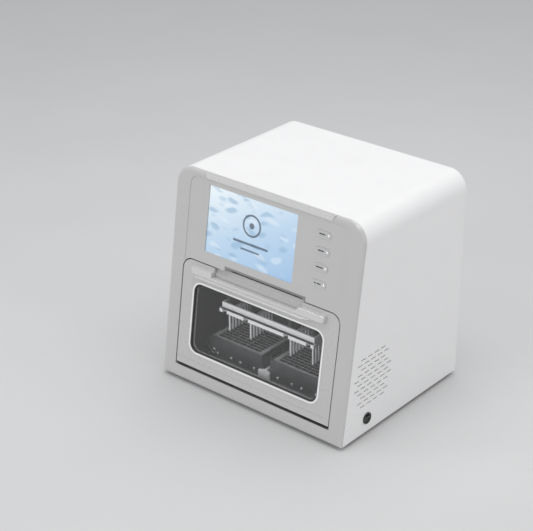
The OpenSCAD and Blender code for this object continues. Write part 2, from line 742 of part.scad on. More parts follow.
module magnet_screw() color([0.7, 0.71, 0.73]) in_body()
    translate([magnet_screw_x, magnet_axis_y, magnet_rail_z[0] - 4])
        cylinder(r = magnet_screw_r, h = carriage_z[1] + 4 - fit - magnet_rail_z[0] + 4);

module magnet_screw_block() color([0.55, 0.56, 0.58]) in_body() difference() {
    box([magnet_screw_x - 9, magnet_axis_y - magnet_screw_r - 1.2, magnet_rail_z[0] - 6],
        [magnet_screw_x + 9, carriage_y, magnet_rail_z[0] + 2]);
    translate([magnet_screw_x, magnet_axis_y, magnet_rail_z[0] - 7]) cylinder(r = magnet_screw_r + run, h = 20);
}

module magnet_carriage() color([0.32, 0.33, 0.35]) in_body() {
    slab(magnet_plate_back - magnet_carriage_t, magnet_plate_back) difference() {
        translate([-carriage_half + 8, plate_low])
            square([2 * carriage_half - 16, magnet_carriage_top - plate_low]);
        for (x = [-1, 1]) translate([x * 28 - 6, plate_low + 24]) circle(9);
    }
    difference() {
        box([magnet_screw_x - 9, magnet_plate_back - eps, nut_z],
            [magnet_screw_x + 9, carriage_y - 0.6, nut_z + nut_h]);
        translate([magnet_screw_x, magnet_axis_y, nut_z - 1]) cylinder(r = magnet_screw_r + run, h = nut_h + 2);
    }
}

module magnet_bearings() color([0.62, 0.63, 0.65]) in_body() for (x = [-1, 1])
    bearing(x * magnet_rail_x, magnet_block[0], magnet_block[1], magnet_block_z, magnet_plate_back,
        carriage_y - 1.5, magnet_rail[0], carriage_y - magnet_rail[1]);

module magnet_plate() color([0.5, 0.51, 0.53]) in_body()
    translate([0, 0, plate_low]) linear_extrude(plate_thick) difference() {
        pad(-carriage_half + 2, carriage_half - 2, strip_y[0] - 2, magnet_plate_back - magnet_carriage_t, 2);
        for (x = [-1, 0, 1]) translate([x * plate_pitch / 2, row_mid]) circle(15);
    }

module rod_places() for (x = rows, i = [0:rods_per_row - 1]) translate([x, rod_y + i * well_pitch, 0]) children();

module rod_strips() color([0.14, 0.14, 0.15]) in_body() difference() {
    for (x = rows) translate([0, 0, strip_low]) linear_extrude(plate_low - strip_low)
        pad(x - strip_w / 2, x + strip_w / 2, strip_y[0], strip_y[1], 3);
    rod_places() translate([0, 0, strip_low - 1]) cylinder(r = rod_d / 2, h = rod_reach + 1);
}

module magnet_rods() color([0.82, 0.83, 0.85]) in_body() rod_places() {
    translate([0, 0, rod_tip_z + 1.2]) cylinder(r = rod_d / 2, h = strip_low + rod_reach - rod_tip_z - 1.2);
    translate([0, 0, rod_tip_z]) cylinder(r1 = rod_d / 2 - 1, r2 = rod_d / 2, h = 1.2 + eps);
}

// ---- deck ----
module guide_shafts() color([0.78, 0.79, 0.81]) in_body() for (y = shaft_y) translate([0, y, deck_z])
    bar_x(shaft_r, -chamber_half + 0.5, chamber_half - 0.5);

module deck_screw() color([0.7, 0.71, 0.73]) in_body() translate([0, row_mid, deck_z])
    bar_x(screw_r, -chamber_half - liner_sheet + fit, chamber_half - 1);

module shaft_supports() color([0.5, 0.51, 0.53]) in_body() both() difference() {
    rib(support_in, chamber_half) difference() {
        translate([shaft_y[0] - 10, sheet_t + liner_sheet])
            square([shaft_y[1] - shaft_y[0] + 20, deck_z + shaft_r + 3 - sheet_t - liner_sheet]);
    }
    for (y = shaft_y) translate([0, y, deck_z]) bar_x(shaft_r, 0, body_w);
    translate([0, row_mid, deck_z]) bar_x(screw_r + run, 0, body_w);
}

module deck_motor() color([0.16, 0.16, 0.17]) in_body()
    translate([-chamber_half - liner_sheet, row_mid, deck_z]) rotate([0, -90, 0]) stepper(motor_w, motor_l);

nest_out = [nest_l / 2 + nest_t, nest_w / 2 + nest_t];
nest_y = row_mid;

module plate_carrier() color([0.25, 0.25, 0.27]) in_body() difference() {
    union() {
        box([nest_x[0] - nest_out[0], nest_y - nest_out[1] - 3, deck_plate[0]],
            [nest_x[1] + nest_out[0], nest_y + nest_out[1] + 3, deck_plate[1]]);
        for (x = nest_x) box([x - nest_out[0], nest_y - nest_out[1], deck_plate[1] - eps],
            [x + nest_out[0], nest_y + nest_out[1], nest_top]);
    }
    for (x = nest_x) {
        box([x - nest_l / 2, nest_y - nest_w / 2, deck_plate[1]],
            [x + nest_l / 2, nest_y + nest_w / 2, nest_top + 1]);
        // finger cut-outs at the ends and low sides at the back
        box([x - cut, nest_y - 16, deck_plate[1] + 22], [x + cut, nest_y + 16, nest_top + 1]);
        box([x - nest_l / 2 + 12, nest_y, deck_plate[1] + 14], [x + nest_l / 2 - 12, nest_y + cut, nest_top + 1]);
        // holes through the front wall
        for (s = [-1, 1]) translate([x + s * 3.5 * well_pitch, 0, deck_plate[1] + 11]) bar_y(2.6, 0, nest_y);
    }
}

heater_columns = [[-5.5], [-0.5, 0.5], [5.5]];       // wells from the plate's centre
module heater_strips() color([0.7, 0.71, 0.73]) in_body() for (x = nest_x, c = heater_columns) difference() {
    box([x + (c[0] - 0.53) * well_pitch, nest_y - row_len / 2 - 5, deck_plate[1]],
        [x + (c[len(c) - 1] + 0.53) * well_pitch, nest_y + row_len / 2 + 5, deck_plate[1] + heater_h]);
    for (k = c, i = [0:rods_per_row - 1])
        translate([x + k * well_pitch, rod_y + i * well_pitch, deck_plate[1] + heater_h - pocket_depth])
            cylinder(r = pocket_r, h = pocket_depth + 1, $fn = 32);
}

module carrier_bushings() color([0.75, 0.72, 0.6]) in_body() {
    for (x = [-bushing_x, bushing_x], y = shaft_y) difference() {
        box([x - bushing[0] / 2, y - bushing[1] / 2, deck_z - 9],
            [x + bushing[0] / 2, y + bushing[1] / 2, deck_plate[0]]);
        translate([0, y, deck_z]) bar_x(shaft_r + run, x - bushing[0], x + bushing[0]);
    }
    difference() {
        box([-16, row_mid - 12, deck_z - 9], [16, row_mid + 12, deck_plate[0]]);
        translate([0, row_mid, deck_z]) bar_x(screw_r + run, -20, 20);
    }
}

latch_w = 27.5;
module latch_block() color([0.8, 0.81, 0.84]) in_body() {
    slab(nest_y - nest_out[1] - 3 - 4.5, nest_y - nest_out[1] - 3) pad(-latch_w / 2, latch_w / 2,
        deck_plate[0] - 6, deck_plate[1] + 18, 1);
    box([-latch_w / 2 + 5, nest_y - nest_out[1] - 4, deck_plate[1]],
        [latch_w / 2 - 5, nest_y - nest_out[1], deck_plate[1] + 18]);
    // rib between the nests
    box([-3, nest_y - nest_out[1] - 1, deck_plate[1]], [3, nest_y + nest_out[1], deck_plate[1] + 19]);
}

// ---- electronics ----
module power_supply() color([0.66, 0.67, 0.68]) in_body() {
    difference() {
        box([36, gantry_y + gantry_t + 30, sheet_t], [134, gantry_y + gantry_t + 160, sheet_t + 42]);
        for (x = [46 : 8 : 124]) box([x, gantry_y + gantry_t + 50, sheet_t + 40],
            [x + 3, gantry_y + gantry_t + 120, sheet_t + 43]);
    }
    box([44, gantry_y + gantry_t + 160 - eps, sheet_t + 2], [126, gantry_y + gantry_t + 170, sheet_t + 18]);
}

board_y = gantry_y + gantry_t + 6;
module main_board() color([0.1, 0.35, 0.2]) in_body() {
    slab(board_y, board_y + board_t) difference() {
        translate([-130, 190]) square([240, 125]);
        for (x = [-125, 105], z = [195, 310]) translate([x, z]) circle(1.6);
    }
    for (x = [-125, 105], z = [195, 310]) translate([x, 0, z]) difference() {
        bar_y(3.5, gantry_y + gantry_t, board_y);
        bar_y(1.6, gantry_y, board_y + 1);
    }
    for (x = [-110 : 36 : 40]) box([x, board_y + board_t - eps, 215], [x + 22, board_y + 14, 240]);
    for (z = [205 : 22 : 290]) box([84, board_y + board_t - eps, z], [98, board_y + 12, z + 16]);
}

module fan_frame() color([0.12, 0.12, 0.13]) in_body() translate([fan_x, 0, fan_z]) {
    slab(rear_y - fan_t, rear_y) difference() {
        pad(-fan_w / 2, fan_w / 2, -fan_w / 2, fan_w / 2, 4);
        circle(fan_bore_r);
        fan_screw_holes();
    }
    // struts and the motor's seat
    slab(rear_y - fan_t, rear_y - fan_t + 3) {
        difference() {
            circle(fan_hub_r);
            circle(fan_shaft_r + run);
        }
        for (a = [0, 90, 180, 270]) rotate(a + 20) translate([fan_hub_r - 1, -2])
            square([fan_bore_r - fan_hub_r + 2, 4]);
    }
}

fan_blades = 7;
rotor_l = fan_t - 2 - 3 - fit;                       // up to the motor's seat
module fan_rotor() color([0.2, 0.2, 0.21]) in_body() translate([fan_x, rear_y - 2, fan_z]) rotate([90, 0, 0]) {
    cylinder(r = fan_hub_r, h = rotor_l);
    cylinder(r = fan_shaft_r, h = rotor_l + fit + 2);
    for (i = [0:fan_blades - 1]) rotate(i * 360 / fan_blades) intersection() {
        translate([fan_hub_r - 2, 0, fan_t / 2 - 3]) rotate([35, 0, 0])
            translate([0, -fan_w * 0.14, -0.8]) cube([fan_bore_r - fan_hub_r + 2, fan_w * 0.28, 1.6]);
        cylinder(r = fan_bore_r - 1.2, h = rotor_l);
    }
}

module power_inlet() color([0.13, 0.13, 0.14]) in_body() translate([inlet_x, 0, inlet_z]) {
    slab(rear_face, rear_face + 2) difference() {
        pad(-25, 25, -16, 16, 3);
        translate([-12, -8]) square([24, 16]);
        for (x = [-1, 1]) translate([x * 20, 0]) circle(1.7);
    }
    slab(rear_face - 26, rear_face) difference() {
        inlet_outline(0);
        translate([-12, -8]) square([24, 16]);
    }
    slab(rear_face - 26, rear_face - 22) square([26, 22], center = true);
    for (x = [-7, 0, 7]) box([x - 1, rear_face - 23, x == 0 ? 1 : -3], [x + 1, rear_face - 6, x == 0 ? 5 : 1]);
}

// ---- mains switch ----
switch_out = 2;
switch_lean = 9;                                     // tilt of the rocker in either position
rocker_w = 10;
module in_switch() in_body() translate([body_w / 2, switch_y, switch_z]) children();

module switch_housing() color([0.07, 0.07, 0.07]) in_switch() difference() {
    union() {
        bar_x(switch_r, 0, switch_out);
        bar_x(switch_r - 1.5, -18, 0.5);
    }
    translate([-14, -rocker_w / 2 - fit, -switch_r + 3.5])
        cube([14 + switch_out + 1, rocker_w + 2 * fit, 2 * switch_r - 7]);
    translate([-7, 0, 0]) bar_y(1.5 + run, -switch_r, switch_r);
}

module rocker() color([0.1, 0.1, 0.1]) in_switch() translate([-7, 0, 0]) rotate([0, switch_lean, 0]) {
    translate([0, rocker_w / 2, 0]) rotate([90, 0, 0]) linear_extrude(rocker_w) polygon([[0, -5],
        [7.6, -switch_r + 5.4], [9.4, -switch_r + 5.4], [8.2, 0],
        [9.4, switch_r - 5.4], [7.6, switch_r - 5.4], [0, 5]]);
    bar_y(1.5, -rocker_w / 2 - 2, rocker_w / 2 + 2);
}

base_pan();
outer_cover();
rear_panel();
front_bezel();
screen_glass();
display_module();
key_board();
key_1();
key_2();
key_3();
key_4();
door_frame();
door_handle();
door_liner();
window_trim();
window_pane();
door_seal();
hinge_pins();
hinge_blocks();
catch_magnets();
chamber_liner();
gantry_plate();
lift_rails();
lift_screw();
lift_screw_blocks();
lift_bracket();
lift_motor();
sleeve_carriage();
lift_bearings();
comb_rack();
rack_frame();
magnet_rails();
magnet_motor();
magnet_screw();
magnet_screw_block();
magnet_carriage();
magnet_bearings();
magnet_plate();
rod_strips();
magnet_rods();
guide_shafts();
shaft_supports();
deck_screw();
deck_motor();
plate_carrier();
heater_strips();
carrier_bushings();
latch_block();
uv_lamp();
uv_sockets();
power_supply();
main_board();
fan_frame();
fan_rotor();
power_inlet();
switch_housing();
rocker();
feet();
panel_screws();
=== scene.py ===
# %% [markdown]
# # A nucleic acid extractor, dressed piece by piece
# The machine comes from the CAD frame at its real size. This script gives every surface its finish,
# adds the fine pieces that the CAD leaves plain, and sets up a studio to look at them in.
# Lengths are in metres, the front faces -Y and +Z is up.

# %% Load the frame
import math

import bmesh
import bpy
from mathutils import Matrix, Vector


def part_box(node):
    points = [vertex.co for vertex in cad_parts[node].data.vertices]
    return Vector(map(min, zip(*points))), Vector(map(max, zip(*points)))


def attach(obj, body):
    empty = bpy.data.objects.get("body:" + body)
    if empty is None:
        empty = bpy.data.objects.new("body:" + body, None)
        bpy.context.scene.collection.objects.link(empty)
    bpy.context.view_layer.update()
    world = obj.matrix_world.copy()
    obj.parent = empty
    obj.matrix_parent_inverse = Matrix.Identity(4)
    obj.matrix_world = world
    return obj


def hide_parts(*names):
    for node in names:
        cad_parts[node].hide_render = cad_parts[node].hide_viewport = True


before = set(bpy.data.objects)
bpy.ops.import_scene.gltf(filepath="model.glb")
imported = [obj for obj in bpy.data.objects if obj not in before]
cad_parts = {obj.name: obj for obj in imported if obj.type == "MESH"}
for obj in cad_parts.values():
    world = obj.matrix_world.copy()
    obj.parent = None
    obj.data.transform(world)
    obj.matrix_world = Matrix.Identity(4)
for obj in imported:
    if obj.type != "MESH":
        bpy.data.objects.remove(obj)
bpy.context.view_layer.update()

# %% [markdown]
# The front panel leans back, so a place on it is easier to give along the panel than in X, Y and Z.
# `on_face` takes x, the slope's own height and how deep below the front surface a point lies.

# %% Places on the leaning front
MM = 0.001
LEAN = math.radians(8.1)
FOOT_HEIGHT = 8 * MM
BODY_DEPTH = 375 * MM
FACE_RIGHT = Vector((1, 0, 0))
FACE_UP = Vector((0, math.sin(LEAN), math.cos(LEAN)))
FACE_IN = Vector((0, math.cos(LEAN), -math.sin(LEAN)))
FACE_FOOT = Vector((0, -BODY_DEPTH / 2, FOOT_HEIGHT))


def on_face(x, up, depth=0.0):
    """The point at x and up the slope, that far behind the front surface. All three in millimetres."""
    return FACE_FOOT + (FACE_RIGHT * x + FACE_UP * up + FACE_IN * depth) * MM


HINGE_UP, HINGE_DEPTH = 37.5, 8.0
print("the door's hinge line runs through", [round(v, 4) for v in on_face(0, HINGE_UP, HINGE_DEPTH)])

# %% [markdown]
# ## The camera
# It stands to the right of the front and above it, with a long lens, so that the box keeps
# nearly parallel edges. The focal length was worked out together with the place.

# %% Camera
CAMERA_AT = Vector((1.6227, -2.0621, 1.5465))
CAMERA_AZIMUTH = math.radians(40.05)
CAMERA_ELEVATION = math.radians(26.48)
FOCAL_PIXELS = 1513.4
FRAME_WIDTH_PIXELS = 533
SENSOR_WIDTH = 36.0
FARTHEST_SEEN = 60

look = Vector(
    (
        -math.sin(CAMERA_AZIMUTH) * math.cos(CAMERA_ELEVATION),
        math.cos(CAMERA_AZIMUTH) * math.cos(CAMERA_ELEVATION),
        -math.sin(CAMERA_ELEVATION),
    )
)
camera = bpy.data.objects.new("camera", bpy.data.cameras.new("camera"))
bpy.context.scene.collection.objects.link(camera)
camera.location = CAMERA_AT
camera.rotation_euler = look.to_track_quat("-Z", "Y").to_euler()
camera.data.sensor_width = SENSOR_WIDTH
camera.data.lens = FOCAL_PIXELS / FRAME_WIDTH_PIXELS * SENSOR_WIDTH
camera.data.clip_end = FARTHEST_SEEN
bpy.context.scene.camera = camera
bpy.context.scene.view_settings.view_transform = "Standard"
print("lens", round(camera.data.lens, 2), "mm")

# %% [markdown]
# ## The studio
# A pale sky gives even light from everywhere. One large lamp overhead makes the top the brightest
# face, and softer ones from the right and the front lift those sides. They are big, so shadows have
# soft edges. One small lamp is there only to draw a bright line along the rounded rim.

# %% Sky and lamps
SKY_COLOUR, SKY_STRENGTH = (0.97, 0.98, 1.0, 1), 0.62
LAMPS = {
    "overhead_lamp": {"at": (0.15, 0.25, 2.6), "size": 2.6, "watts": 27.0, "aim": (0, 0, 0.2)},
    "right_lamp": {"at": (2.9, 0.3, 1.5), "size": 1.8, "watts": 12.0, "aim": (0.1, 0, 0.2)},
    "front_lamp": {"at": (-0.6, -3.2, 1.6), "size": 1.6, "watts": 24.0, "aim": (0, 0, 0.2)},
    "rim_lamp": {"at": (-1.2, -1.1, 2.0), "size": 0.3, "watts": 2.5, "aim": (0, -0.13, 0.42)},
}

world = bpy.data.worlds.new("studio_sky")
bpy.context.scene.world = world
world.use_nodes = True
sky = world.node_tree.nodes["Background"]
sky.inputs["Color"].default_value = SKY_COLOUR
sky.inputs["Strength"].default_value = SKY_STRENGTH

for lamp_name, lamp in LAMPS.items():
    light = bpy.data.lights.new(lamp_name, "AREA")
    light.shape = "DISK"
    light.size = lamp["size"]
    light.energy = lamp["watts"]
    lamp_object = bpy.data.objects.new(lamp_name, light)
    bpy.context.scene.collection.objects.link(lamp_object)
    lamp_object.location = lamp["at"]
    to_aim = Vector(lamp["aim"]) - Vector(lamp["at"])
    lamp_object.rotation_euler = to_aim.to_track_quat("-Z", "Y").to_euler()
print("lamps:", ", ".join(LAMPS))

# %% [markdown]
# ## Building shaders in code
# A shader is a graph of nodes. `put` adds one node and fills its sockets: a plain value is set on the
# socket, and another node's output is linked to it. `blend_colours` and `blend_values` wrap the Mix node,
# whose sockets carry the same names for numbers and for colours, so they are picked by their place.

# %% Node helpers
def fill(tree, socket, value):
    """Links a socket, or sets it to a plain value."""
    if isinstance(value, bpy.types.NodeSocket):
        tree.links.new(value, socket)
    else:
        socket.default_value = value


def put(tree, kind, inputs=None, **settings):
    """One node of a kind, with its settings and its inputs filled or linked."""
    node = tree.nodes.new("ShaderNode" + kind)
    for name, value in settings.items():
        setattr(node, name, value)
    for name, value in (inputs or {}).items():
        fill(tree, node.inputs[name], value)
    return node


def fill_all(tree, node, **values):
    """Fills a node's sockets by name. An underscore stands for a space in a socket's name."""
    for name, value in values.items():
        fill(tree, node.inputs[name.replace("_", " ")], value)


def blend_colours(tree, factor, first, second, how="MIX"):
    """A colour between two, by a factor."""
    sockets = {0: factor, 6: first, 7: second}
    return put(tree, "Mix", sockets, data_type="RGBA", blend_type=how).outputs[2]


def blend_values(tree, factor, first, second):
    """A number between two, by a factor."""
    return put(tree, "Mix", {0: factor, 2: first, 3: second}, data_type="FLOAT").outputs[0]


def calculate(tree, how, first, second=0.0):
    """One operation of a Math node on two numbers."""
    return put(tree, "Math", {0: first, 1: second}, operation=how).outputs[0]


def times(tree, first, second):
    """One number times another."""
    return calculate(tree, "MULTIPLY", first, second)


def remap(tree, value, low, high, to_low=0.0, to_high=1.0):
    """A range of a value stretched over another range, and clamped to it."""
    ends = {"From Min": low, "From Max": high, "To Min": to_low, "To Max": to_high}
    return put(tree, "MapRange", {"Value": value, **ends}, clamp=True).outputs["Result"]


def object_place(tree):
    """Where a point lies in its piece's own space."""
    return put(tree, "TexCoord").outputs["Object"]


def noise(tree, where, scale, detail, roughness=0.5, distortion=0.0):
    """The grey value of a Noise texture."""
    looks = {"Scale": scale, "Detail": detail, "Roughness": roughness, "Distortion": distortion}
    return put(tree, "TexNoise", {"Vector": where, **looks}).outputs["Fac"]


def rgb(red, green, blue):
    """A linear colour with full alpha."""
    return (red, green, blue, 1.0)


def grey(level, warmth=0.0):
    """A linear grey, a little warmer or, below zero, cooler."""
    return (level * (1 + warmth), level, level * (1 - warmth), 1.0)


print("a warm mid grey is", [round(v, 3) for v in grey(0.5, 0.02)])

# %% [markdown]
# ## Effects that many finishes share
# Each effect is a node group with named inputs, built once. A group gives out only masks, numbers or
# heights, and the material decides what to do with them. All of them read the Object coordinates, which
# are real metres on this machine, so a scale of 1000 means about one bump to a millimetre.

# %% Group maker
FLOAT_SOCKET = "NodeSocketFloat"


def start_group(name, inputs, outputs):
    """An empty node group with float sockets, and its two end nodes."""
    tree = bpy.data.node_groups.new(name, "ShaderNodeTree")
    for socket_name, value in inputs.items():
        socket = tree.interface.new_socket(name=socket_name, in_out="INPUT", socket_type=FLOAT_SOCKET)
        socket.default_value = value
    for socket_name in outputs:
        tree.interface.new_socket(name=socket_name, in_out="OUTPUT", socket_type=FLOAT_SOCKET)
    return tree, tree.nodes.new("NodeGroupInput"), tree.nodes.new("NodeGroupOutput")


def use_group(tree, group, **values):
    """Places a group with its own values and gives its outputs."""
    node = put(tree, "Group", node_tree=group)
    fill_all(tree, node, **values)
    return node.outputs


print("every socket of a group is a", FLOAT_SOCKET)

# %% [markdown]
# **Grain** is the fine skin of moulded plastic and powder paint. Two noises of different size are
# mixed, because one alone looks like printed dots.

# %% Grain group
COARSE_SHARE, TONE_SCALE = 0.23, 14.0
grain_group, ins, outs = start_group("grain", {"Scale": 1400.0, "Softness": 0.5}, ["Height", "Tone"])
where = object_place(grain_group)
fine = noise(grain_group, where, ins.outputs["Scale"], detail=2.0, roughness=0.55)
coarse_scale = times(grain_group, ins.outputs["Scale"], COARSE_SHARE)
coarse = noise(grain_group, where, coarse_scale, detail=1.0)
height = blend_values(grain_group, ins.outputs["Softness"], fine, coarse)
grain_group.links.new(height, outs.inputs["Height"])
tone = noise(grain_group, where, TONE_SCALE, detail=3.0, roughness=0.6)
grain_group.links.new(tone, outs.inputs["Tone"])
print("grain group:", len(grain_group.nodes), "nodes")

# %% [markdown]
# ** Edge wear and highlight** finds the edges of a mesh at render time. The Bevel node gives a normal as if the
# edge were rounded, so where it differs from the true normal, an edge is near. Noise breaks it up. The
# dot product of the two normals is 1 on a flat face and falls towards an edge. Paint and metal lighten
# their edges by it as wear; moulded plastic lightens them as a painted highlight.

# %% Edge group
FLAT, TURNED, NICK_RANGE = 0.995, 0.86, (0.42, 0.62)
edge_group, ins, outs = start_group("edge_wear_and_highlight", {"Radius": 0.0012, "Break Up": 0.5}, ["Mask"])
rounded = put(edge_group, "Bevel", {"Radius": ins.outputs["Radius"]}, samples=4)
true_normal = put(edge_group, "NewGeometry").outputs["Normal"]
turn = put(edge_group, "VectorMath", {0: rounded.outputs["Normal"], 1: true_normal}, operation="DOT_PRODUCT")
near_edge = remap(edge_group, turn.outputs["Value"], FLAT, TURNED)
nicks = noise(edge_group, object_place(edge_group), 160.0, detail=4.0, roughness=0.7)
broken = remap(edge_group, nicks, *NICK_RANGE)
kept = blend_values(edge_group, ins.outputs["Break Up"], 1.0, broken)
edge_group.links.new(times(edge_group, near_edge, kept), outs.inputs["Mask"])
print("edge wear group:", len(edge_group.nodes), "nodes")

# %% [markdown]
# **Dust** settles on what faces up. The Object normal's Z says how far up a surface looks, and a
# cloudy noise keeps the layer uneven.

# %% Dust group
TOO_STEEP, LEVEL, CLOUD_RANGE = 0.55, 0.98, (0.35, 0.75)
dust_group, ins, outs = start_group("dust", {"Amount": 0.3}, ["Mask"])
coords = put(dust_group, "TexCoord")
normal_parts = put(dust_group, "SeparateXYZ", {0: coords.outputs["Normal"]})
facing_up = remap(dust_group, normal_parts.outputs["Z"], TOO_STEEP, LEVEL)
clouds = noise(dust_group, coords.outputs["Object"], 22.0, detail=5.0, roughness=0.68)
patches = remap(dust_group, clouds, *CLOUD_RANGE)
layer = times(dust_group, facing_up, patches)
dust_group.links.new(times(dust_group, layer, ins.outputs["Amount"]), outs.inputs["Mask"])
print("dust group:", len(dust_group.nodes), "nodes")

# %% [markdown]
# **Smudges** are where hands and cloths have been. On paint, plastic and glass they change only how
# sharply a surface shines, so the mask goes to roughness. On bare metal it darkens the colour a little.

# %% Smudge group
SWIRL_RANGE = (0.38, 0.7)
smudge_group, ins, outs = start_group("smudges", {"Scale": 30.0}, ["Mask"])
where = object_place(smudge_group)
swirl = noise(smudge_group, where, ins.outputs["Scale"], detail=3.0, distortion=1.6)
smudge_group.links.new(remap(smudge_group, swirl, *SWIRL_RANGE), outs.inputs["Mask"])
print("smudge group:", len(smudge_group.nodes), "nodes")

# %% [markdown]
# **Brushing** is a noise stretched along one axis until it turns into fine lines. The three
# inputs are how closely it repeats along X, Y and Z: a small number is the way the brush ran.

# %% Brushed group
BRUSH_REPEATS = {"Along X": 20.0, "Along Y": 1500.0, "Along Z": 1500.0}
brushed_group, ins, outs = start_group("brushed", BRUSH_REPEATS, ["Height"])
where = object_place(brushed_group)
stretch = put(brushed_group, "CombineXYZ", {axis: ins.outputs["Along " + axis] for axis in "XYZ"})
stretched = put(brushed_group, "VectorMath", {0: where, 1: stretch.outputs["Vector"]}, operation="MULTIPLY")
lines = noise(brushed_group, stretched.outputs["Vector"], 1.0, detail=3.0, roughness=0.7)
brushed_group.links.new(lines, outs.inputs["Height"])
print("brushed group:", len(brushed_group.nodes), "nodes")

# %% [markdown]
# ## The finishes
# Each family below is one way a real surface is made: powder paint on sheet, a moulded skin, a
# machined or brushed metal, rubber, glass. The family sets up the Principled shader, and the values
# given for a slot make it that slot's own finish. The CAD record names a slot for each kind of stuff.

# %% Shared parts of every finish
DUST_COLOUR = grey(0.42, 0.06)
finishes = {}


def shade(colour, factor):
    """The same colour, lighter or darker."""
    return tuple(min(1.0, channel * factor) for channel in colour[:3]) + (1.0,)


def new_finish(name):
    """A new material, filed under its name. Gives its node tree and its Principled shader."""
    finishes[name] = bpy.data.materials.new(name)
    finishes[name].use_nodes = True
    print("finish", len(finishes), name)
    tree = finishes[name].node_tree
    return tree, tree.nodes["Principled BSDF"]


def raise_skin(tree, skin, height, depth_mm, strength=0.3):
    """Turns a height into a bump on the shader's normal."""
    bump = put(tree, "Bump", {"Height": height, "Strength": strength, "Distance": depth_mm * MM})
    fill_all(tree, skin, Normal=bump.outputs["Normal"])


print("dust is", [round(channel, 2) for channel in DUST_COLOUR[:3]])

# %% [markdown]
# **Powder paint** has a faint orange peel, a clear skin that shines softly, and edges where the paint
# is a little thinner and brighter. The large pale faces stay clean, so their dust is only a trace. The
# cover is nearly white. The chamber is dark, so that the bright rack and rods stand out in it.

# %% Powder paint
def powder_paint(name, colour, roughness=0.4, peel_mm=0.05, dust=0.05, edge=1.06):
    """Painted sheet metal."""
    tree, skin = new_finish(name)
    grain = use_group(tree, grain_group, Scale=820.0, Softness=0.7)
    edges = use_group(tree, edge_group, Radius=0.0015, Break_Up=0.7)
    settled = use_group(tree, dust_group, Amount=dust)
    marks = use_group(tree, smudge_group, Scale=17.0)
    paint = blend_colours(tree, grain["Tone"], shade(colour, 0.975), shade(colour, 1.015))
    paint = blend_colours(tree, edges["Mask"], paint, shade(colour, edge))
    paint = blend_colours(tree, settled["Mask"], paint, DUST_COLOUR)
    uneven = blend_values(tree, marks["Mask"], roughness, roughness + 0.08)
    fill_all(tree, skin, Base_Color=paint, Roughness=uneven, Coat_Weight=0.12, Coat_Roughness=0.3)
    raise_skin(tree, skin, grain["Height"], peel_mm)


powder_paint("cover_paint", grey(0.83, 0.002), roughness=0.42)
powder_paint("rack_metal", grey(0.96), roughness=0.3)
powder_paint("liner_paint", grey(0.022, -0.02), roughness=0.5, edge=1.5, dust=0.04)
powder_paint("frame_paint", grey(0.04, -0.02), roughness=0.5, edge=1.5)
powder_paint("motor_paint", grey(0.02), roughness=0.45, edge=2.0)

# %% [markdown]
# **Moulded plastic** carries the fine spark-eroded grain of its mould, finer and sharper than paint.
# Hands leave it smoother in patches, and its edges are painted lighter, a painted highlight. The front is a
# warm grey with a glossy coat. The header strip is a shade lighter, the door's handle has a finer grain
# than the door, and the scoop over it is painted darker, a painted shade for its hollow.

# %% Moulded plastic
def moulded_plastic(
    name, colour, roughness=0.45, grain_mm=0.05, dust=0.05, edge=1.08, coat=0.0, handled=0.07
):
    """Injection-moulded plastic with a fine grain; handled is how much smoother its smudges shine."""
    tree, skin = new_finish(name)
    grain = use_group(tree, grain_group, Scale=1900.0, Softness=0.3)
    edges = use_group(tree, edge_group, Radius=0.001, Break_Up=0.55)
    settled = use_group(tree, dust_group, Amount=dust)
    marks = use_group(tree, smudge_group, Scale=34.0)
    body = blend_colours(tree, grain["Tone"], shade(colour, 0.965), shade(colour, 1.02))
    # The edge mask lightens the edges: a painted highlight.
    body = blend_colours(tree, edges["Mask"], body, shade(colour, edge))
    body = blend_colours(tree, settled["Mask"], body, DUST_COLOUR)
    uneven = blend_values(tree, marks["Mask"], roughness, roughness - handled)
    fill_all(tree, skin, Base_Color=body, Roughness=uneven, IOR=1.49)
    fill_all(tree, skin, Coat_Weight=coat, Coat_Roughness=0.07)
    raise_skin(tree, skin, grain["Height"], grain_mm)


UNTOUCHED = {"grain_mm": 0.003, "dust": 0.0, "edge": 1.0, "handled": 0.0}
moulded_plastic("bezel_plastic", grey(0.54, 0.008), roughness=0.24, grain_mm=0.006, coat=0.7)
moulded_plastic("door_plastic", grey(0.55, 0.008), roughness=0.28, grain_mm=0.006, handled=0.01)
moulded_plastic("header_plastic", grey(0.66, 0.004), roughness=0.3, grain_mm=0.004, coat=0.5)
moulded_plastic("handle_plastic", grey(0.64, 0.006), roughness=0.3, coat=0.4, **UNTOUCHED)
# The scoop's grey is much darker than the door's: painted shade for the hollow.
moulded_plastic("scoop_painted_shade", grey(0.27, 0.006), roughness=0.34, coat=0.3, **UNTOUCHED)
moulded_plastic("trim_plastic", grey(0.9), roughness=0.2, grain_mm=0.01, coat=0.6)
moulded_plastic("key_rubber", grey(0.53), roughness=0.35, grain_mm=0.02, edge=1.5)
moulded_plastic("black_plastic", grey(0.018), roughness=0.42, edge=2.2)
moulded_plastic("rocker_plastic", grey(0.012), roughness=0.25, edge=2.5)
moulded_plastic("strip_plastic", grey(0.03), roughness=0.4, edge=1.8)
moulded_plastic("socket_ceramic", grey(0.7, 0.04), roughness=0.35)

# %% [markdown]
# **Machined metal** is all reflection, so its colour is nearly flat and its life is in the brush lines
# and in edges that handling has polished. The brush runs along one axis, which differs by piece. The
# latch block is a pale silver lacquer over metal, so it is given only a trace of the metal's mirror.

# %% Machined metal
BRUSH_ALONG = {"X": (18.0, 1300.0, 1300.0), "Y": (1300.0, 18.0, 1300.0), "Z": (1300.0, 1300.0, 18.0)}


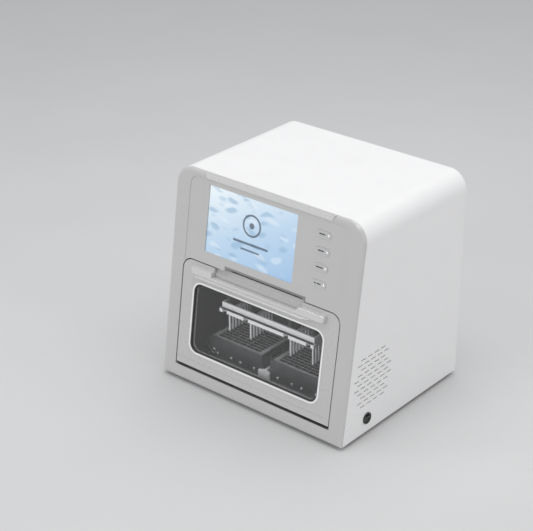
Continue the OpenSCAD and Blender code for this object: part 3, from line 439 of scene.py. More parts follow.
def machined_metal(name, colour, roughness=0.3, brush="X", metallic=1.0):
    """Bare, plated or lacquered metal, brushed or turned along one axis."""
    tree, skin = new_finish(name)
    along = dict(zip(("Along_X", "Along_Y", "Along_Z"), BRUSH_ALONG[brush]))
    lines = use_group(tree, brushed_group, **along)
    edges = use_group(tree, edge_group, Radius=0.0007, Break_Up=0.3)
    marks = use_group(tree, smudge_group, Scale=55.0)
    face = blend_colours(tree, marks["Mask"], colour, shade(colour, 0.86))
    face = blend_colours(tree, edges["Mask"], face, shade(colour, 1.25))
    uneven = remap(tree, lines["Height"], 0.3, 0.7, roughness - 0.06, roughness + 0.1)
    fill_all(tree, skin, Base_Color=face, Metallic=metallic, Roughness=uneven)
    raise_skin(tree, skin, lines["Height"], 0.03)


machined_metal("module_metal", grey(0.5), roughness=0.38)
machined_metal("carriage_metal", grey(0.34, -0.02), roughness=0.42)
machined_metal("block_metal", grey(0.8), roughness=0.28, brush="Y")
machined_metal("carrier_metal", grey(0.3, -0.02), roughness=0.4)
machined_metal("heater_metal", grey(0.62), roughness=0.36)
machined_metal("rail_steel", grey(0.7, -0.01), roughness=0.2, brush="Z")
machined_metal("shaft_steel", grey(0.75, -0.01), roughness=0.16)
machined_metal("screw_steel", grey(0.6), roughness=0.25)
machined_metal("screw_zinc", grey(0.72, -0.01), roughness=0.3)
machined_metal("magnet_nickel", grey(0.74, 0.02), roughness=0.16)
machined_metal("bronze", rgb(0.62, 0.4, 0.17), roughness=0.32)
machined_metal("latch_silver", grey(0.95), roughness=0.5, brush="Y", metallic=0.1)

# %% [markdown]
# **Rubber** is dull and dark, with a pebbled skin that holds dust.

# %% Rubber
def soft_rubber(name, colour, roughness=0.75, grain_mm=0.08):
    """Moulded rubber or silicone."""
    tree, skin = new_finish(name)
    grain = use_group(tree, grain_group, Scale=1100.0, Softness=0.4)
    settled = use_group(tree, dust_group, Amount=0.22)
    rubber = blend_colours(tree, grain["Tone"], shade(colour, 0.88), shade(colour, 1.12))
    rubber = blend_colours(tree, settled["Mask"], rubber, DUST_COLOUR)
    uneven = remap(tree, grain["Height"], 0.3, 0.7, roughness - 0.1, roughness + 0.08)
    fill_all(tree, skin, Base_Color=rubber, Roughness=uneven, Sheen_Weight=0.15)
    raise_skin(tree, skin, grain["Height"], grain_mm, 0.45)


soft_rubber("seal_rubber", grey(0.03))
soft_rubber("foot_rubber", grey(0.022))

# %% [markdown]
# **Clear sheets** are real glass shaders that bend and tint what is behind them. Light from the lamps
# would be lost in the glass, so shadow and diffuse rays pass straight through a Transparent shader of
# the same tint. The faint film of wiping shows in the roughness.

# %% Clear sheets
def clear_sheet(name, tint, roughness=0.02, film=0.05):
    """A pane that lets the lamps through."""
    tree, skin = new_finish(name)
    marks = use_group(tree, smudge_group, Scale=19.0)
    filmed = blend_values(tree, marks["Mask"], roughness, roughness + film)
    fill_all(tree, skin, Base_Color=tint, Roughness=filmed, Transmission_Weight=1.0, IOR=1.49)
    passing = put(tree, "BsdfTransparent", {"Color": tint})
    path = put(tree, "LightPath")
    either = calculate(tree, "MAXIMUM", path.outputs["Is Shadow Ray"], path.outputs["Is Diffuse Ray"])
    both = put(tree, "MixShader", {0: either, 1: skin.outputs["BSDF"], 2: passing.outputs["BSDF"]})
    fill(tree, tree.nodes["Material Output"].inputs["Surface"], both.outputs["Shader"])


clear_sheet("pane_plastic", grey(0.97, -0.004), film=0.02)
clear_sheet("screen_glass", grey(0.96, -0.005), roughness=0.06, film=0.06)

# %% [markdown]
# **The lamp tube** is quartz with a milky coat inside, so it scatters a little and hides its wires.

# %% Lamp tube glass
def milky_glass(name):
    """The germ-killing lamp's tube, switched off."""
    tree, skin = new_finish(name)
    marks = use_group(tree, smudge_group, Scale=60.0)
    uneven = blend_values(tree, marks["Mask"], 0.18, 0.32)
    fill_all(tree, skin, Base_Color=grey(0.82, -0.02), Roughness=uneven, Coat_Weight=0.7)
    fill_all(tree, skin, Subsurface_Weight=0.3, Subsurface_Scale=0.004)


milky_glass("lamp_glass")

# %% [markdown]
# **A circuit board** is green lacquer over copper tracks. A brick pattern gives the tracks their runs
# and bends, and a nearly regular grid of spots gives the plated holes.

# %% Circuit board
LACQUER, TRACK_LACQUER, HOLE_PLATING = rgb(0.012, 0.09, 0.035), rgb(0.02, 0.16, 0.06), rgb(0.62, 0.5, 0.28)
TRACK_PATTERN = {"Scale": 90.0, "Mortar Size": 0.07, "Brick Width": 1.3, "Row Height": 0.28}
PAD_EDGE = (0.22, 0.17)


def circuit_board(name):
    """Green solder mask with tracks and plated holes."""
    tree, skin = new_finish(name)
    turned = put(tree, "Mapping", {"Vector": object_place(tree), "Rotation": (math.pi / 2, 0, 0)})
    upright = turned.outputs["Vector"]
    runs = put(tree, "TexBrick", {"Vector": upright, **TRACK_PATTERN}, offset=0.37)
    spots = put(tree, "TexVoronoi", {"Vector": upright, "Scale": 260.0, "Randomness": 0.25})
    pads = remap(tree, spots.outputs["Distance"], *PAD_EDGE)
    lacquer = blend_colours(tree, runs.outputs["Fac"], LACQUER, TRACK_LACQUER)
    face = blend_colours(tree, pads, lacquer, HOLE_PLATING)
    fill_all(tree, skin, Base_Color=face, Metallic=times(tree, pads, 0.9), Roughness=0.32)
    raise_skin(tree, skin, calculate(tree, "ADD", runs.outputs["Fac"], pads), 0.06)


circuit_board("board_green")

# %% [markdown]
# **Zinc-plated sheet** shows large pale crystals, the spangle. Each cell of a Voronoi pattern gets its
# own random grey, gloss and height, as each crystal has.

# %% Zinc-plated sheet
def spangled_zinc(name):
    """Galvanised sheet for the hidden pan."""
    tree, skin = new_finish(name)
    crystals = put(tree, "TexVoronoi", {"Vector": object_place(tree), "Scale": 95.0})
    tone = put(tree, "SeparateXYZ", {0: crystals.outputs["Color"]})
    edges = use_group(tree, edge_group, Radius=0.001, Break_Up=0.4)
    face = blend_colours(tree, tone.outputs["X"], grey(0.5, -0.02), grey(0.66, -0.03))
    face = blend_colours(tree, edges["Mask"], face, grey(0.8))
    uneven = remap(tree, tone.outputs["Y"], 0.0, 1.0, 0.32, 0.5)
    fill_all(tree, skin, Base_Color=face, Metallic=1.0, Roughness=uneven)
    raise_skin(tree, skin, tone.outputs["Z"], 0.01)


spangled_zinc("zinc_sheet")

# %% [markdown]
# **Rod sleeves** are bright nickel under a thin clear coat. A mirror metal would only show the dark
# chamber, so this finish is about a third metal and the rest pale satin, as a scattering plated skin is.

# %% Rod finish
def satin_sleeve(name):
    """Bright satin nickel for the thin magnet rods."""
    tree, skin = new_finish(name)
    lines = use_group(tree, brushed_group, Along_X=900.0, Along_Y=900.0, Along_Z=30.0)
    marks = use_group(tree, smudge_group, Scale=90.0)
    nickel = blend_colours(tree, marks["Mask"], grey(0.97), grey(0.88))
    uneven = remap(tree, lines["Height"], 0.3, 0.7, 0.22, 0.4)
    fill_all(tree, skin, Base_Color=nickel, Metallic=0.3, Roughness=uneven, Coat_Weight=0.4)
    raise_skin(tree, skin, lines["Height"], 0.01)


satin_sleeve("rod_steel")

# %% [markdown]
# ## Dressing the CAD pieces
# Every CAD piece comes with a plain material named after its slot, so a loop can put the finish of the
# same name in its place. The latch block shares its slot with other pieces and gets its own finish.

# %% The finishes by slot
dressed = 0
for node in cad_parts.values():
    for material_slot in node.material_slots:
        slot_name = material_slot.material.name.split(".")[0]
        material_slot.material = finishes[slot_name]
        dressed += 1
for material_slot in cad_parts["latch_block"].material_slots:
    material_slot.material = finishes["latch_silver"]
print(dressed, "slots dressed in", len(finishes), "finishes")

# %% [markdown]
# ## The floor
# One wide pale sheet, far larger than the view, so that no edge shows.

# %% Floor
FLOOR_HALF = 12.0
FLOOR_SIDES = ((-1, -1), (1, -1), (1, 1), (-1, 1))
floor_corners = [(x * FLOOR_HALF, y * FLOOR_HALF, 0) for x, y in FLOOR_SIDES]
floor_mesh = bpy.data.meshes.new("studio_floor")
floor_mesh.from_pydata(floor_corners, [], [(0, 1, 2, 3)])
floor = bpy.data.objects.new("studio_floor", floor_mesh)
bpy.context.scene.collection.objects.link(floor)
tree, skin = new_finish("floor_card")
card = noise(tree, object_place(tree), 3.0, detail=4.0)
fill_all(tree, skin, Base_Color=blend_colours(tree, card, grey(0.6), grey(0.64)), Roughness=0.9)
floor_mesh.materials.append(finishes["floor_card"])
print("floor", 2 * FLOOR_HALF, "m wide")

# %% [markdown]
# ## Helpers for the fine pieces
# The CAD gives every part that moves or carries something. The pieces below are what it leaves plain:
# the picture on the screen, the marks on the keys, threads and screw heads. Each one is a mesh
# made with bmesh and rides on the CAD body that carries it; a piece without a finish of its own takes its
# slot's.

# %% Piece maker
def make_piece(name, mesh_builder, body, slot, finish=None, smooth=True):
    """A mesh object from a bmesh, dressed in its own finish or its slot's, and riding on a body."""
    mesh = bpy.data.meshes.new(name)
    bm = bmesh.new()
    mesh_builder(bm)
    bmesh.ops.recalc_face_normals(bm, faces=bm.faces)
    bm.to_mesh(mesh)
    bm.free()
    piece = bpy.data.objects.new(name, mesh)
    bpy.context.scene.collection.objects.link(piece)
    mesh.materials.append(finishes[finish or slot])
    for polygon in mesh.polygons:
        polygon.use_smooth = smooth
    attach(piece, body)
    print(name + ":", len(mesh.polygons), "faces, rides on", body)
    return piece


def soften(piece, width_mm, segments=3):
    """Rounds a piece's edges and keeps its flat faces flat."""
    bevel = piece.modifiers.new("rounded", "BEVEL")
    bevel.width = width_mm * MM
    bevel.segments = segments
    bevel.limit_method = "ANGLE"
    bevel.angle_limit = math.radians(35)
    bevel.harden_normals = True


# %% [markdown]
# Most of the pieces are lofts: rings of points, one after another, with bands of four-sided faces
# between them. A loft is either capped at both ends or closed on itself, like a tyre.

# %% Lofts
def bridge(bm, first, second):
    """A band of faces between two rings with the same number of points."""
    for i in range(len(first)):
        j = (i + 1) % len(first)
        bm.faces.new((first[i], first[j], second[j], second[i]))


def loft(bm, rings, closed=False):
    """Joins rings one after another, then caps the ends or, if it is closed, joins those too."""
    for first, second in zip(rings, rings[1:]):
        bridge(bm, first, second)
    if closed:
        bridge(bm, rings[-1], rings[0])
        return
    bm.faces.new(rings[0])
    bm.faces.new(rings[-1])


def circle(count):
    """The cosine and the sine of evenly spaced angles."""
    turns = [2 * math.pi * i / count for i in range(count)]
    return [(math.cos(turn), math.sin(turn)) for turn in turns]


print("a circle of four starts at", circle(4)[0])

# %% [markdown]
# A rounded rectangle serves for the picture, the marks on the keys, the slot's felt and the gasket.
# Its outline is a plain list of points, so the same function also gives the inner and the outer edge of
# a frame. A pad stands on such an outline, and a crown lifts the middle of its front in two steps.

# %% Rounded outlines and pads
CROWN_STEPS = ((0.72, 0.6), (0.4, 0.9))


def rounded_outline(left, right, low, high, radius, steps=8):
    """Points round a rectangle with round corners, in the same order each time."""
    points = []
    near, far = left + radius, right - radius
    centres = ((far, high - radius), (near, high - radius), (near, low + radius), (far, low + radius))
    for corner, (cx, cy) in enumerate(centres):
        for step in range(steps + 1):
            angle = math.pi / 2 * (corner + step / steps)
            points.append((cx + radius * math.cos(angle), cy + radius * math.sin(angle)))
    return points


def face_ring(bm, outline, depth):
    """An outline's points on the leaning front, at one depth."""
    return [bm.verts.new(on_face(x, up, depth)) for x, up in outline]


def face_pad(bm, outline, front, back, crown=0.0):
    """A pad on the leaning front between two depths, its front face raised by a crown in the middle."""
    rings = [face_ring(bm, outline, back), face_ring(bm, outline, front)]
    cx = sum(x for x, _ in outline) / len(outline)
    cy = sum(y for _, y in outline) / len(outline)
    for share, lift in CROWN_STEPS if crown else ():
        smaller = [(cx + (x - cx) * share, cy + (y - cy) * share) for x, y in outline]
        rings.append(face_ring(bm, smaller, front - crown * lift))
    loft(bm, rings)


print("an outline of the smallest steps has", len(rounded_outline(0, 2, 0, 1, 0.2, 1)), "points")

# %% [markdown]
# ## The screen picture
# A liquid-crystal panel is a flat picture that lights itself, a little behind its glass. The picture is
# procedural: a pale blue fall from light to deep, soft drops out of focus, and a ring with a dot and two
# bars like those of a start page. It is a shader on a thin sheet, so the sheet stays one simple mesh and
# the picture stays sharp at any size.

# %% Picture finish
PICTURE_LEFT, PICTURE_RIGHT = -142.2, 73.2
PICTURE_LOW, PICTURE_HIGH = 276.3, 410.7
PICTURE_DEPTH = 5.9
PICTURE_ASPECT = 1.6
SKY_SLANT = 0.75
SKY_DEEP, SKY_MIDDLE, SKY_LIGHT = rgb(0.33, 0.52, 0.77), rgb(0.5, 0.67, 0.84), rgb(0.86, 0.93, 0.97)
SWIRL_SCALE, BEND, STRETCH, SMOOTHNESS = 2.2, 0.3, 2.4, 0.35
DROP_LAYERS = (
    # The scale and turn of the drops, where they end and are full, their strength and their colour.
    (2.7, 0.9, 0.34, 0.2, 0.62, rgb(0.27, 0.45, 0.64)),
    (3.6, -0.7, 0.27, 0.15, 0.5, rgb(0.36, 0.54, 0.72)),
    (2.2, 1.9, 0.3, 0.17, 0.4, rgb(0.8, 0.89, 0.96)),
)


def soft_drops(tree, where, scale, turn, edge, full, strength):
    """Blurred drops: rounded cells of a Voronoi pattern, stretched, turned and bent by a slow noise."""
    swirl = put(tree, "TexNoise", {"Vector": where, "Scale": SWIRL_SCALE, "Detail": 1.0})
    bent = blend_colours(tree, BEND, where, swirl.outputs["Color"], "ADD")
    shape = {"Rotation": (0.0, 0.0, turn), "Scale": (1.0, STRETCH, 1.0)}
    turned = put(tree, "Mapping", {"Vector": bent, **shape}).outputs["Vector"]
    cells = put(tree, "TexVoronoi", {"Vector": turned, "Scale": scale}, feature="SMOOTH_F1")
    fill_all(tree, cells, Smoothness=SMOOTHNESS)
    return times(tree, remap(tree, cells.outputs["Distance"], edge, full), strength)


tree, skin = new_finish("screen_picture")
parts = put(tree, "SeparateXYZ", {0: object_place(tree)})
across = remap(tree, parts.outputs["X"], PICTURE_LEFT * MM, PICTURE_RIGHT * MM)
foot = on_face(0, PICTURE_LOW, PICTURE_DEPTH).z
head = on_face(0, PICTURE_HIGH, PICTURE_DEPTH).z
up = remap(tree, parts.outputs["Z"], foot, head)
wide = times(tree, across, PICTURE_ASPECT)
flat = put(tree, "CombineXYZ", {"X": wide, "Y": up}).outputs["Vector"]
light_corner = calculate(tree, "SUBTRACT", up, times(tree, across, SKY_SLANT))
sky_fall = put(tree, "ValToRGB", {"Fac": remap(tree, light_corner, -SKY_SLANT, 1.0)})
ramp = sky_fall.color_ramp
ramp.elements[0].color = SKY_DEEP
ramp.elements[1].color = SKY_LIGHT
ramp.elements.new(0.5).color = SKY_MIDDLE
picture = sky_fall.outputs["Color"]
for *shape, colour in DROP_LAYERS:
    picture = blend_colours(tree, soft_drops(tree, flat, *shape), picture, colour)
print("picture from", PICTURE_LEFT, "to", PICTURE_RIGHT, "mm across")

# %% [markdown]
# The start page's plain shapes are drawn by distance: a ring where the distance from a point is
# near its radius, a dot where it is small, and a bar where a point is inside a width and a height.
# Nothing is written. Places run from 0 to 1 across the picture and up it, and the ring's sizes are
# parts of its height. Each mask goes from nothing at the first number of its edge to full at the second.

# %% Ring and bars
RING_ACROSS, RING_UP, RING_RADIUS = 0.5, 0.6, 0.15
RING_EDGE, DOT_EDGE = (0.019, 0.011), (0.05, 0.04)
BARS = ((0.31, 0.69, 0.315, 0.338), (0.40, 0.60, 0.225, 0.24))
INK_COLOUR, INK_STRENGTH = rgb(0.035, 0.06, 0.1), 0.85


def bar_mask(tree, across, up, left, right, low, high, blur=0.012):
    """One inside an upright rectangle of the picture, falling softly to zero round it."""
    inside = remap(tree, across, left - blur, left)
    inside = times(tree, inside, remap(tree, across, right + blur, right))
    inside = times(tree, inside, remap(tree, up, low - blur, low))
    return times(tree, inside, remap(tree, up, high + blur, high))


from_x = times(tree, calculate(tree, "SUBTRACT", across, RING_ACROSS), PICTURE_ASPECT)
from_y = calculate(tree, "SUBTRACT", up, RING_UP)
reach = calculate(tree, "ADD", times(tree, from_x, from_x), times(tree, from_y, from_y))
reach = calculate(tree, "SQRT", reach)
off_ring = calculate(tree, "ABSOLUTE", calculate(tree, "SUBTRACT", reach, RING_RADIUS))
round_ink = calculate(tree, "MAXIMUM", remap(tree, off_ring, *RING_EDGE), remap(tree, reach, *DOT_EDGE))
bar_ink = calculate(tree, "MAXIMUM", *[bar_mask(tree, across, up, *sides) for sides in BARS])
ink = calculate(tree, "MAXIMUM", round_ink, bar_ink)
picture = blend_colours(tree, times(tree, ink, INK_STRENGTH), picture, INK_COLOUR)
fill_all(tree, skin, Base_Color=grey(0.02), Roughness=0.3, Emission_Color=picture, Emission_Strength=1.0)
print("picture finish:", len(tree.nodes), "nodes")

# %% [markdown]
# The sheet itself is a flat pad with corners of small radius, just in front of the panel's metal case.

# %% Picture sheet
SHEET_HALF, SHEET_CORNER = 0.08, 1.5


def build_picture(bm):
    """A thin sheet, half of it on each side of the picture's depth."""
    outline = rounded_outline(PICTURE_LEFT, PICTURE_RIGHT, PICTURE_LOW, PICTURE_HIGH, SHEET_CORNER, steps=4)
    face_pad(bm, outline, PICTURE_DEPTH - SHEET_HALF, PICTURE_DEPTH + SHEET_HALF)


make_piece("screen_picture", build_picture, "housing", "module_metal", "screen_picture", smooth=False)

# %% [markdown]
# ## Key marks
# Each key carries one or two dark raised dashes and, at its right end, a small clear lens for its lamp. A
# dash is a crowned pad, because printed ink stands a few hundredths proud and catches a line of light.

# %% Finishes of the marks
moulded_plastic("key_ink", grey(0.035), roughness=0.5, grain_mm=0.01, edge=1.1)
tree, skin = new_finish("lens_plastic")
marks = use_group(tree, smudge_group, Scale=200.0)
lens_colour = blend_colours(tree, marks["Mask"], grey(0.92), grey(0.84))
# A faint glow of its own makes each lens a small bright spot: a painted highlight.
fill_all(tree, skin, Base_Color=lens_colour, Roughness=0.12, Emission_Color=grey(0.9))
fill_all(tree, skin, Emission_Strength=0.06, Coat_Weight=0.8)
print("lens finish:", len(tree.nodes), "nodes")

# %% [markdown]
# The four keys stand one above another at an even pitch, the first at the top. A table holds the left
# and right end of every dash from the key's middle, and a loop lays the marks on each key.

# %% Marks on the keys
KEY_MIDDLE_X, LOWEST_KEY_UP, KEY_PITCH = 134.0, 296.5, 31.4
KEY_FACE = 0.2
DASHES = {1: ((-10.5, 3.0),), 2: ((-9.5, 4.0),), 3: ((-10.0, 5.5),), 4: ((-10.5, -6.0), (-4.0, 4.5))}
DASH_HALF_HEIGHT, DASH_CORNER, DASH_PROUD, DASH_CROWN = 1.1, 0.9, 0.06, 0.05
LENS_LEFT, LENS_RIGHT = 9.2, 13.0
LENS_HALF_HEIGHT, LENS_CORNER, LENS_PROUD, LENS_CROWN = 2.6, 1.85, 0.1, 0.5
MARK_BACK = 0.05


def key_outline(left, right, middle_up, half_height, corner, steps):
    """A rounded mark on a key, its ends measured from the key's middle."""
    ends = KEY_MIDDLE_X + left, KEY_MIDDLE_X + right
    return rounded_outline(*ends, middle_up - half_height, middle_up + half_height, corner, steps)


for number, strokes in DASHES.items():
    middle_up = LOWEST_KEY_UP + (len(DASHES) - number) * KEY_PITCH

    def build_dashes(bm, strokes=strokes, middle_up=middle_up):
        for left, right in strokes:
            outline = key_outline(left, right, middle_up, DASH_HALF_HEIGHT, DASH_CORNER, steps=4)
            face_pad(bm, outline, KEY_FACE - DASH_PROUD, KEY_FACE + MARK_BACK, DASH_CROWN)

    def build_lens(bm, middle_up=middle_up):
        outline = key_outline(LENS_LEFT, LENS_RIGHT, middle_up, LENS_HALF_HEIGHT, LENS_CORNER, steps=6)
        face_pad(bm, outline, KEY_FACE - LENS_PROUD, KEY_FACE + MARK_BACK, LENS_CROWN)

    make_piece(f"key_dash_{number}", build_dashes, f"key_{number}", "key_rubber", "key_ink")
    make_piece(f"key_lens_{number}", build_lens, f"key_{number}", "key_rubber", "lens_plastic")

# %% [markdown]
# ## The lining of the finger scoop
# Over the door's handle the front is hollowed for the fingertips. The CAD has the full depth of that
# hollow, and this moulded lining gives it its real soft form: shallow at the ends, a little deeper in the
# middle. It is lofted: one profile of the hollow, repeated across with its depth changing.

# %% Scoop lining
SCOOP_LEFT, SCOOP_RIGHT = -87.98, 107.98
SCOOP_AXIS_UP, SCOOP_AXIS_IN, SCOOP_RADIUS = 250.5, 3.0, 11.93
SCOOP_LOW = 253.0
SCOOP_DEPTH, SCOOP_LIP, SCOOP_HOLLOWNESS = 9.0, 0.2, 2.2
SCOOP_END_LENGTH, SCOOP_STATIONS = 16.0, 60
PANEL_DEPTH = 1.0


def scoop_profile(depth_mm, steps=12):
    """Points of one cross-section, as (up, depth): the soft front, then the CAD's round hollow back."""
    top = SCOOP_AXIS_UP + math.sqrt(SCOOP_RADIUS**2 - (SCOOP_AXIS_IN - PANEL_DEPTH) ** 2)
    front = []
    for step in range(steps + 1):
        t = step / steps
        depth = PANEL_DEPTH + depth_mm * (1 - t) ** SCOOP_HOLLOWNESS
        front.append((SCOOP_LOW + (top - SCOOP_LOW) * t, depth))
    back = []
    start = math.atan2(top - SCOOP_AXIS_UP, PANEL_DEPTH - SCOOP_AXIS_IN)
    end = math.asin((SCOOP_LOW - SCOOP_AXIS_UP) / SCOOP_RADIUS)
    for step in range(1, steps + 1):
        angle = start + (end - start) * step / steps
        up = SCOOP_AXIS_UP + SCOOP_RADIUS * math.sin(angle)
        back.append((up, SCOOP_AXIS_IN + SCOOP_RADIUS * math.cos(angle)))
    return front + back


def build_scoop(bm):
    """Cross-sections from left to right, joined into a closed loft."""
    rings = []
    for station in range(SCOOP_STATIONS + 1):
        x = SCOOP_LEFT + (SCOOP_RIGHT - SCOOP_LEFT) * (station / SCOOP_STATIONS)
        from_end = min(x - SCOOP_LEFT, SCOOP_RIGHT - x)
        ease = min(1.0, from_end / SCOOP_END_LENGTH)
        depth = SCOOP_LIP + SCOOP_DEPTH * ease * ease * (3 - 2 * ease)
        rings.append([bm.verts.new(on_face(x, up, depth_in)) for up, depth_in in scoop_profile(depth)])
    loft(bm, rings)


# Its darker finish is painted shade.
make_piece("scoop_lining", build_scoop, "housing", "bezel_plastic", "scoop_painted_shade")

# %% [markdown]
# ## Threaded screws
# The two lifts and the sliding deck are driven by ball screws, which the CAD holds as smooth rods. A ball
# screw's thread is a round groove that winds along it, so the mesh is a grid round the rod whose radius
# dips where the groove passes. One turn of the thread is its lead, 10 mm, and a second start lies between.

# %% Ball screws
THREAD_LEAD = 10.0
THREAD_STARTS = 2
GROOVE_SHARE, GROOVE_SHARPNESS = 0.16, 1.5
PLAIN_END, GROOVE_RUN_OUT = 9.0, 2.0
ROWS_PER_LEAD, POINTS_AROUND = 16, 28


def build_thread(bm, box, axis):
    """A grooved rod that fills its node's box along one axis."""
    low, high = (Vector(corner) for corner in box)
    across = [i for i in range(3) if i != axis]
    centre = (low + high) / 2
    radius = (high - low)[across[0]] / 2
    length = (high - low)[axis]
    rows = int(length / (THREAD_LEAD * MM) * ROWS_PER_LEAD)
    rings = []
    for row in range(rows + 1):
        along = length * row / rows
        grooved = min(1.0, max(0.0, (min(along, length - along) / MM - PLAIN_END) / GROOVE_RUN_OUT))
        ring = []
        for spoke in range(POINTS_AROUND):
            turn = spoke / POINTS_AROUND
            phase = (along / (THREAD_LEAD * MM) - turn) * THREAD_STARTS
            dip = 0.5 - 0.5 * math.cos(2 * math.pi * phase)
            r = radius * (1 - GROOVE_SHARE * grooved * dip**GROOVE_SHARPNESS)
            point = [0.0, 0.0, 0.0]
            point[axis] = low[axis] + along
            point[across[0]] = centre[across[0]] + r * math.cos(2 * math.pi * turn)
            point[across[1]] = centre[across[1]] + r * math.sin(2 * math.pi * turn)
            ring.append(bm.verts.new(point))
        rings.append(ring)
    loft(bm, rings)


for node_name, axis in (("lift_screw", 2), ("magnet_screw", 2), ("deck_screw", 0)):
    screw = make_piece(
        node_name + "_thread",
        lambda bm, name=node_name, axis=axis: build_thread(bm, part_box(name), axis),
        node_name,
        "screw_steel",
    )
    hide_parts(node_name)

# %% [markdown]
# ## Turned heads
# Screw heads are lathe work: a half outline spun round an axis. One function turns any outline, and the
# recess for the key is left as a plain round dimple, which is all that shows at this size.

# %% Lathe
DOME_HEAD = ((0, -0.2), (2.9, -0.2), (2.9, 0.4), (2.6, 1.2), (1.8, 1.8), (1.1, 2.0), (1.0, 1.3), (0, 1.2))


def lathe(bm, outline, at, direction, segments=20):
    """Spins (radius, height) points in mm round an axis that starts at a place and runs in a direction."""
    axis = Vector(direction).normalized()
    side = axis.orthogonal().normalized()
    other = axis.cross(side)
    rings = []
    for radius, height in outline:
        middle = Vector(at) + axis * height * MM
        if radius == 0:
            rings.append([bm.verts.new(middle)])
            continue
        spokes = [(side * cosine + other * sine) * radius * MM for cosine, sine in circle(segments)]
        rings.append([bm.verts.new(middle + spoke) for spoke in spokes])
    for first, second in zip(rings, rings[1:]):
        if len(first) == len(second):
            bridge(bm, first, second)
            continue
        for i in range(segments):
            j = (i + 1) % segments
            if len(first) == 1:
                bm.faces.new((first[0], second[j], second[i]))
            else:
                bm.faces.new((first[i], first[j], second[0]))


print("a dome head is", 2 * max(r for r, _ in DOME_HEAD), "mm wide")

# %% [markdown]
# ## Deep-well plates
# A plate of deep wells stands in each nest of the carrier. These have 48 oblong wells, so that each pair of
# rods keeps its own room at every place where the carrier stops. They are moulded in black. A blend by
# height paints a lighter line along their rims, a painted highlight, so no second piece is needed.

# %% Plate sizes and finish
PLATE_X, PLATE_Y, PLATE_FOOT = 76.75, -86.0, 48.15
PLATE_SIZE = (127.76, 85.48)
PLATE_TOP, WELL_FLOOR, UNDERSIDE = 92.0, 56.6, 55.0
WELLS = (6, 8)
WELL_PITCH = (18.0, 9.0)
WELL_WALL, WELL_TAPER = 0.9, 1.0
SLOPE_TOP, SLOPE_FOOT, SKIRT_WIDTH, FOOT_WALL = 6.0, 5.4, 1.2, 0.6
RIM_HIGHLIGHT_LOW, RIM_HIGHLIGHT_HIGH, RIM_EDGE = 0.7, 0.2, 0.3
moulded_plastic("well_plastic", grey(0.05, -0.02), roughness=0.26, grain_mm=0.02, edge=2.5)
tree = finishes["well_plastic"].node_tree
skin = tree.nodes["Principled BSDF"]
dark_body = skin.inputs["Base Color"].links[0].from_socket
height = put(tree, "SeparateXYZ", {0: object_place(tree)}).outputs["Z"]
# A lighter band along the top of the rims: a painted highlight.
painted_rim_highlight = remap(tree, height, (PLATE_TOP - RIM_HIGHLIGHT_LOW) * MM, (PLATE_TOP - RIM_HIGHLIGHT_HIGH) * MM)
fill_all(tree, skin, Base_Color=blend_colours(tree, painted_rim_highlight, dark_body, grey(0.42)))
print(WELLS[0] * WELLS[1], "wells to a plate")

# %% [markdown]
# The mesh starts as a flat grid. Every second cell sinks into a well, and the rest stays as the walls
# between them. The grid's rim is then carried down as a body and a wider skirt, and in under the foot.

# %% Plates
def grid_lines(count, pitch, half):
    """Edges of walls and wells along one side of a plate, from its middle."""
    lines = [-half]
    for i in range(count):
        middle = (i - (count - 1) / 2) * pitch
        lines += [middle - pitch / 2 + WELL_WALL / 2, middle + pitch / 2 - WELL_WALL / 2]
    return lines + [half]


def build_plate(bm, middle_x):
    """One plate: a pitted top, a body, a wider skirt and a hollow foot over the heater strips."""
    half = [side / 2 - SKIRT_WIDTH for side in PLATE_SIZE]
    xs = grid_lines(WELLS[0], WELL_PITCH[0], half[0])
    ys = grid_lines(WELLS[1], WELL_PITCH[1], half[1])

    def at(x, y, z):
        return bm.verts.new(Vector((middle_x + x, PLATE_Y + y, z)) * MM)

    top = [[at(x, y, PLATE_TOP) for y in ys] for x in xs]
    for i in range(len(xs) - 1):
        for j in range(len(ys) - 1):
            corners = [top[i][j], top[i + 1][j], top[i + 1][j + 1], top[i][j + 1]]
            if i % 2 == 0 or j % 2 == 0:
                bm.faces.new(corners)
                continue
            left, right = xs[i] + WELL_TAPER, xs[i + 1] - WELL_TAPER
            near, far = ys[j] + WELL_TAPER, ys[j + 1] - WELL_TAPER
            floor_places = ((left, near), (right, near), (right, far), (left, far))
            floor = [at(x, y, WELL_FLOOR) for x, y in floor_places]
            bridge(bm, corners, floor)
            bm.faces.new(floor)
    last_x, last_y = len(xs) - 1, len(ys) - 1
    rim = [top[i][0] for i in range(last_x + 1)] + [top[last_x][j] for j in range(1, last_y + 1)]
    rim += [top[i][last_y] for i in range(last_x - 1, -1, -1)] + [top[0][j] for j in range(last_y - 1, 0, -1)]
    places = [(v.co.x / MM - middle_x, v.co.y / MM - PLATE_Y) for v in rim]
    outside = (
        (0, PLATE_FOOT + SLOPE_TOP),
        (SKIRT_WIDTH, PLATE_FOOT + SLOPE_FOOT),
        (SKIRT_WIDTH, PLATE_FOOT),
        (-FOOT_WALL, PLATE_FOOT),
        (-FOOT_WALL, UNDERSIDE),
    )
    for grow, z in outside:
        ring = [at(x * (1 + grow / half[0]), y * (1 + grow / half[1]), z) for x, y in places]
        bridge(bm, rim, ring)
        rim = ring
    bm.faces.new(rim)


for side, middle_x in (("left", -PLATE_X), ("right", PLATE_X)):
    plate = make_piece(
        side + "_well_plate",
        lambda bm, x=middle_x: build_plate(bm, x),
        "carrier",
        "pane_plastic",
        "well_plastic",
        smooth=False,
    )
    soften(plate, RIM_EDGE, segments=2)

# %% [markdown]
# ## Small things in the chamber
# Bright screws hold the front of the carrier, and a pull ring hangs at its left end. The screws are
# turned on the lathe above, and the ring is a circle of wire: small circles carried round a large one.

# %% Carrier screws and ring
CARRIER_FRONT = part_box("plate_carrier")[0].y + 3 * MM
SCREW_SHIFTS, SCREW_HEIGHT = (-47, -12, 12, 47), 58.5 * MM
PULL_MIDDLE = Vector((-134.5 * MM, CARRIER_FRONT - 1.2 * MM, 61 * MM))
PULL_RADIUS, WIRE_RADIUS = 5.2 * MM, 0.9 * MM
PULL_POINTS, WIRE_POINTS = 36, 10


